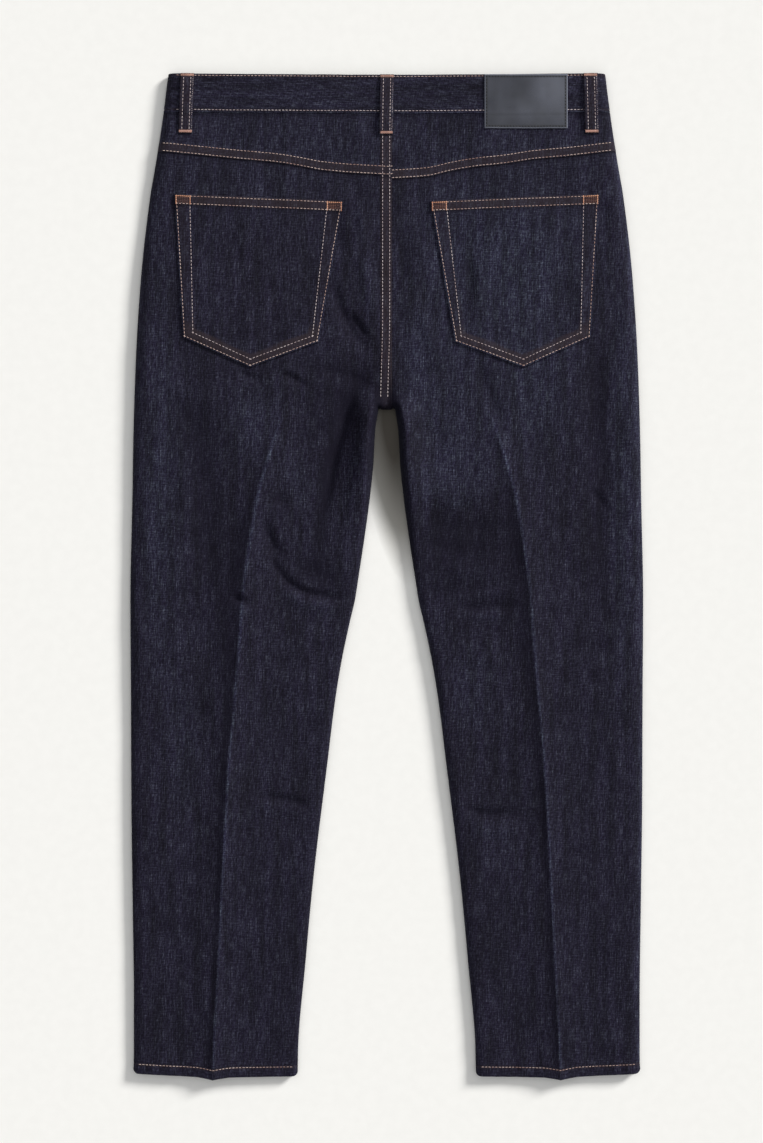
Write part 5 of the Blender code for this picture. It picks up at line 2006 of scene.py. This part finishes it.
@dataclass
class Patch(Piece):
    """The bare leather patch, sewn over the band and the top of the right yoke."""

    width: float = 85.0
    length: float = 55.0
    thick: float = 1.4
    x: float = 142.4
    down: float = 1.6
    row_in: float = 2.2

    def height(self, x: Array, down: Array) -> Array:
        """Height of the patch's outer side above the back's surface."""
        from_ends = np.minimum(down - self.down, self.down + self.length - down)
        side = np.minimum(self.width / 2 - np.abs(x - self.x), from_ends)
        rounded = 0.6 * (1 - round_off(side / 0.9))
        dent = 0.25 * bell(side - self.row_in, 0.7)
        sway = 0.16 * uneven(x / 30, down / 24, 71) * ease(side / 6)
        return self.underside(x, down) + self.thick - rounded - dent + sway

    def underside(self, x: Array, down: Array) -> Array:
        """Height of the patch's underside above the back's surface."""
        return JEANS.seam_gap + JEANS.above_back(x, down)

    def build(self, sewing: StitchTree) -> Any:
        """Builds the patch with its sewing and hands it over."""
        across = (close_to_edges(self.width, 40) - 0.5)[None, :] * self.width
        place = close_to_edges(self.length, 34)[:, None] * self.length
        x, down = self.x + across + 0 * place, self.down + place + 0 * across
        sheet = JEANS.back(x, down)
        side = np.minimum(self.width / 2 - np.abs(across), np.minimum(place, self.length - place))
        u, v = across / self.width + 0 * place, place / self.length + 0 * across
        # Painted sheen: soft pale spots where the leather would mirror a studio light, with slight
        # unevenness
        painted_sheen = 0.19 * np.exp(-(((u - 0.34) / 0.24) ** 2) - ((v - 0.25) / 0.55) ** 2)
        painted_sheen = painted_sheen + 0.07 * np.exp(-(((u + 0.02) / 0.10) ** 2) - ((v - 0.62) / 0.22) ** 2)
        painted_sheen = painted_sheen + 0.06 * np.exp(-(((u + 0.20) / 0.20) ** 2) - ((v - 0.72) / 0.10) ** 2)
        painted_sheen = painted_sheen + 0.025 * (1 + uneven(x / 13, down / 10, 73)) + 0.01 * uneven(x / 5, down / 6, 75)
        # The pale cut edge, and painted shade in the dent along the row of sewing
        wear_and_highlight = np.maximum(np.clip(painted_sheen, 0, 1), 0.62 * bell(side, 0.8))
        shade = 0.7 * bell(side - self.row_in, 0.8)
        made = add_wall(
            "leather_patch", sheet, self.underside(x, down), self.height(x, down), (LEATHER, LEATHER),
            tone=(wear_and_highlight, 0, shade),
        )
        half, inset = self.width / 2 - self.row_in, self.row_in
        left, right = self.x - half, self.x + half
        top, foot = self.down + inset, self.down + self.length - inset
        ends = [(left, top), (left, foot), (right, foot), (right, top), (left, top)]
        rows = []
        for (x0, d0), (x1, d1) in zip(ends, ends[1:]):
            line, below = np.linspace(x0, x1, 50), np.linspace(d0, d1, 50)
            z = JEANS.back(line, below).z + self.height(line, below) + 0.05
            rows.append(Row(line, below, z, 1.0))
        sewing.sew("sewing_patch", rows, FINE_STITCH, BLACK_THREAD)
        area = 0.999 * self.width * self.length * MM * MM
        flat = (self.width * MM, self.length * MM)
        return self.hand_over(made, "patch", sheet, area, ["waistband"], slot="patch_leather", flat=flat)


@dataclass
class Seams:
    """The double rows along the yoke's fell and down the seat seam, and the front's sewing."""

    yoke_rows: tuple[float, float] = (1.5, 9.3)
    seat_rows: tuple[float, float] = (-4.3, 2.9)

    def build(self, sewing: StitchTree) -> None:
        """Sews the seams."""
        rows = []
        for start, end in ((-228, -8), (-6.5, 4.6), (6.3, 228)):
            for up in self.yoke_rows:
                x = np.linspace(start, end, max(6, int(abs(end - start) / 1.5)))
                down = JEANS.yoke_line(x) - up
                z = JEANS.back(x, down).z + JEANS.lap_rise + 0.08
                rows.append(Row(x, down, z, 1.0))
        sewing.sew("sewing_yoke", rows, LOCKSTITCH, COPPER_THREAD)
        rows = []
        for place in self.seat_rows:
            down = np.linspace(62, 330, 200)
            x = place - 2.0 * ease((down - 250) / 90)
            z = JEANS.back(x, down).z + JEANS.seat_lift(x, down) + 0.1
            rows.append(Row(x, down, z, 1.0))
        sewing.sew("sewing_seat", rows, LOCKSTITCH, PALE_THREAD)
        self.front(sewing)

    def front(self, sewing: StitchTree) -> None:
        """The fly's curved double row and the rows along the front pockets' openings."""
        rows = []
        for reach in (38.0, 44.0):
            turn = np.linspace(0, math.pi / 2, 24)
            x = np.concatenate([np.full(40, -reach), -reach * np.cos(turn)])
            down = np.concatenate([np.linspace(62, 150, 40), 150 + 1.1 * reach * np.sin(turn)])
            x = np.minimum(x, -1.5)
            rows.append(Row(x, down, JEANS.front(x, down).z - 0.02, -1.0))
        for side in (-1, 1):
            for below in (2.0, 8.0):
                x = side * np.linspace(114, 226, 80)
                down = JEANS.scoop_line(x) + below
                rows.append(Row(x, down, JEANS.front(x, down).z - 0.02, -1.0))
        sewing.sew("sewing_front", rows, LOCKSTITCH, COPPER_THREAD)


@dataclass
class Studio:
    """The pale floor, the soft lights and the camera straight above."""

    lens: float = 100.0
    frame_height: float = 1.1692
    middle_x: float = -0.0054
    middle_y: float = 0.0052
    cloth_height: float = 0.012
    key_strength: float = 3.72
    key_spread: float = 16.0
    key_from: tuple[float, float, float] = (2.09, 1.60, 1.27)
    sky_strength: float = 1.07
    floor_reach: float = 40.0
    floor_height: float = -0.0002

    def build(self) -> None:
        """Builds the studio."""
        mesh = bpy.data.meshes.new("floor")
        reach, height = self.floor_reach, self.floor_height
        ends = ((-reach, -reach), (reach, -reach), (reach, reach), (-reach, reach))
        mesh.from_pydata([(x, y, height) for x, y in ends], [], [(0, 1, 2, 3)])
        mesh.materials.append(PalePaper().material())
        add_object("floor", mesh)
        self.key_light()
        world = bpy.data.worlds.new("studio")
        bpy.context.scene.world = world
        world.use_nodes = True
        tree = world.node_tree
        sky = tree.nodes["Background"]
        place = add_node(tree, "ShaderNodeTexCoord")
        split = add_node(tree, "ShaderNodeSeparateXYZ", links={"Vector": (place, "Generated")})
        above = add_node(tree, "ShaderNodeMath", {"operation": "MAXIMUM", 1: 0.0}, {0: (split, "Z")})
        bowl = add_node(tree, "ShaderNodeMath", {"operation": "POWER", 1: 2.0}, {0: (above, 0)})
        gain = {"operation": "MULTIPLY", 1: self.sky_strength}
        lit = add_node(tree, "ShaderNodeMath", gain, {0: (bowl, 0)})
        feed(tree, sky, {"Color": linear("FBFBFB")}, {"Strength": (lit, 0)})
        self.camera()
        bpy.context.scene.view_settings.view_transform = "Standard"

    def key_light(self) -> None:
        """Adds the low light from beyond the upper right, wide enough for soft shadow edges."""
        lamp = bpy.data.lights.new("key", "SUN")
        lamp.energy, lamp.angle = self.key_strength, math.radians(self.key_spread)
        lamp.color = linear("FFFDF9")[:3]
        held = add_object("key", lamp)
        held.location = self.key_from
        held.rotation_euler = (-Vector(self.key_from)).to_track_quat("-Z", "Y").to_euler()

    def camera(self) -> None:
        """Adds the camera, so far up that its frame is as tall at the cloth as the photograph's."""
        lens = bpy.data.cameras.new("camera")
        lens.lens = self.lens
        lens.sensor_width = 36.0
        lens.sensor_fit = "AUTO"
        held = add_object("camera", lens)
        away = self.frame_height * self.lens / lens.sensor_width
        held.location = (self.middle_x, self.middle_y, self.cloth_height + away)
        bpy.context.scene.camera = held


def main() -> None:
    """Builds the studio and every piece in order."""
    logging.basicConfig(level=logging.INFO, format="%(message)s")
    Studio().build()
    sewing = StitchTree()
    for half in Half:
        BackPanel(half).build()
        Yoke(half).build()
        FrontPanel(half).build()
        PocketFacing(half).build()
        Hem(half).build(sewing)
        BackPocket(half).build(sewing)
        FrontLoop(half).build(sewing)
    for place in BACK_LOOPS:
        BeltLoop(place=place).build(sewing)
    Waistband().build(sewing)
    Patch().build(sewing)
    Seams().build(sewing)
    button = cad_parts["button"]
    for slot in button.material_slots:
        slot.material = COPPER.material()


if __name__ == "__main__":
    main()
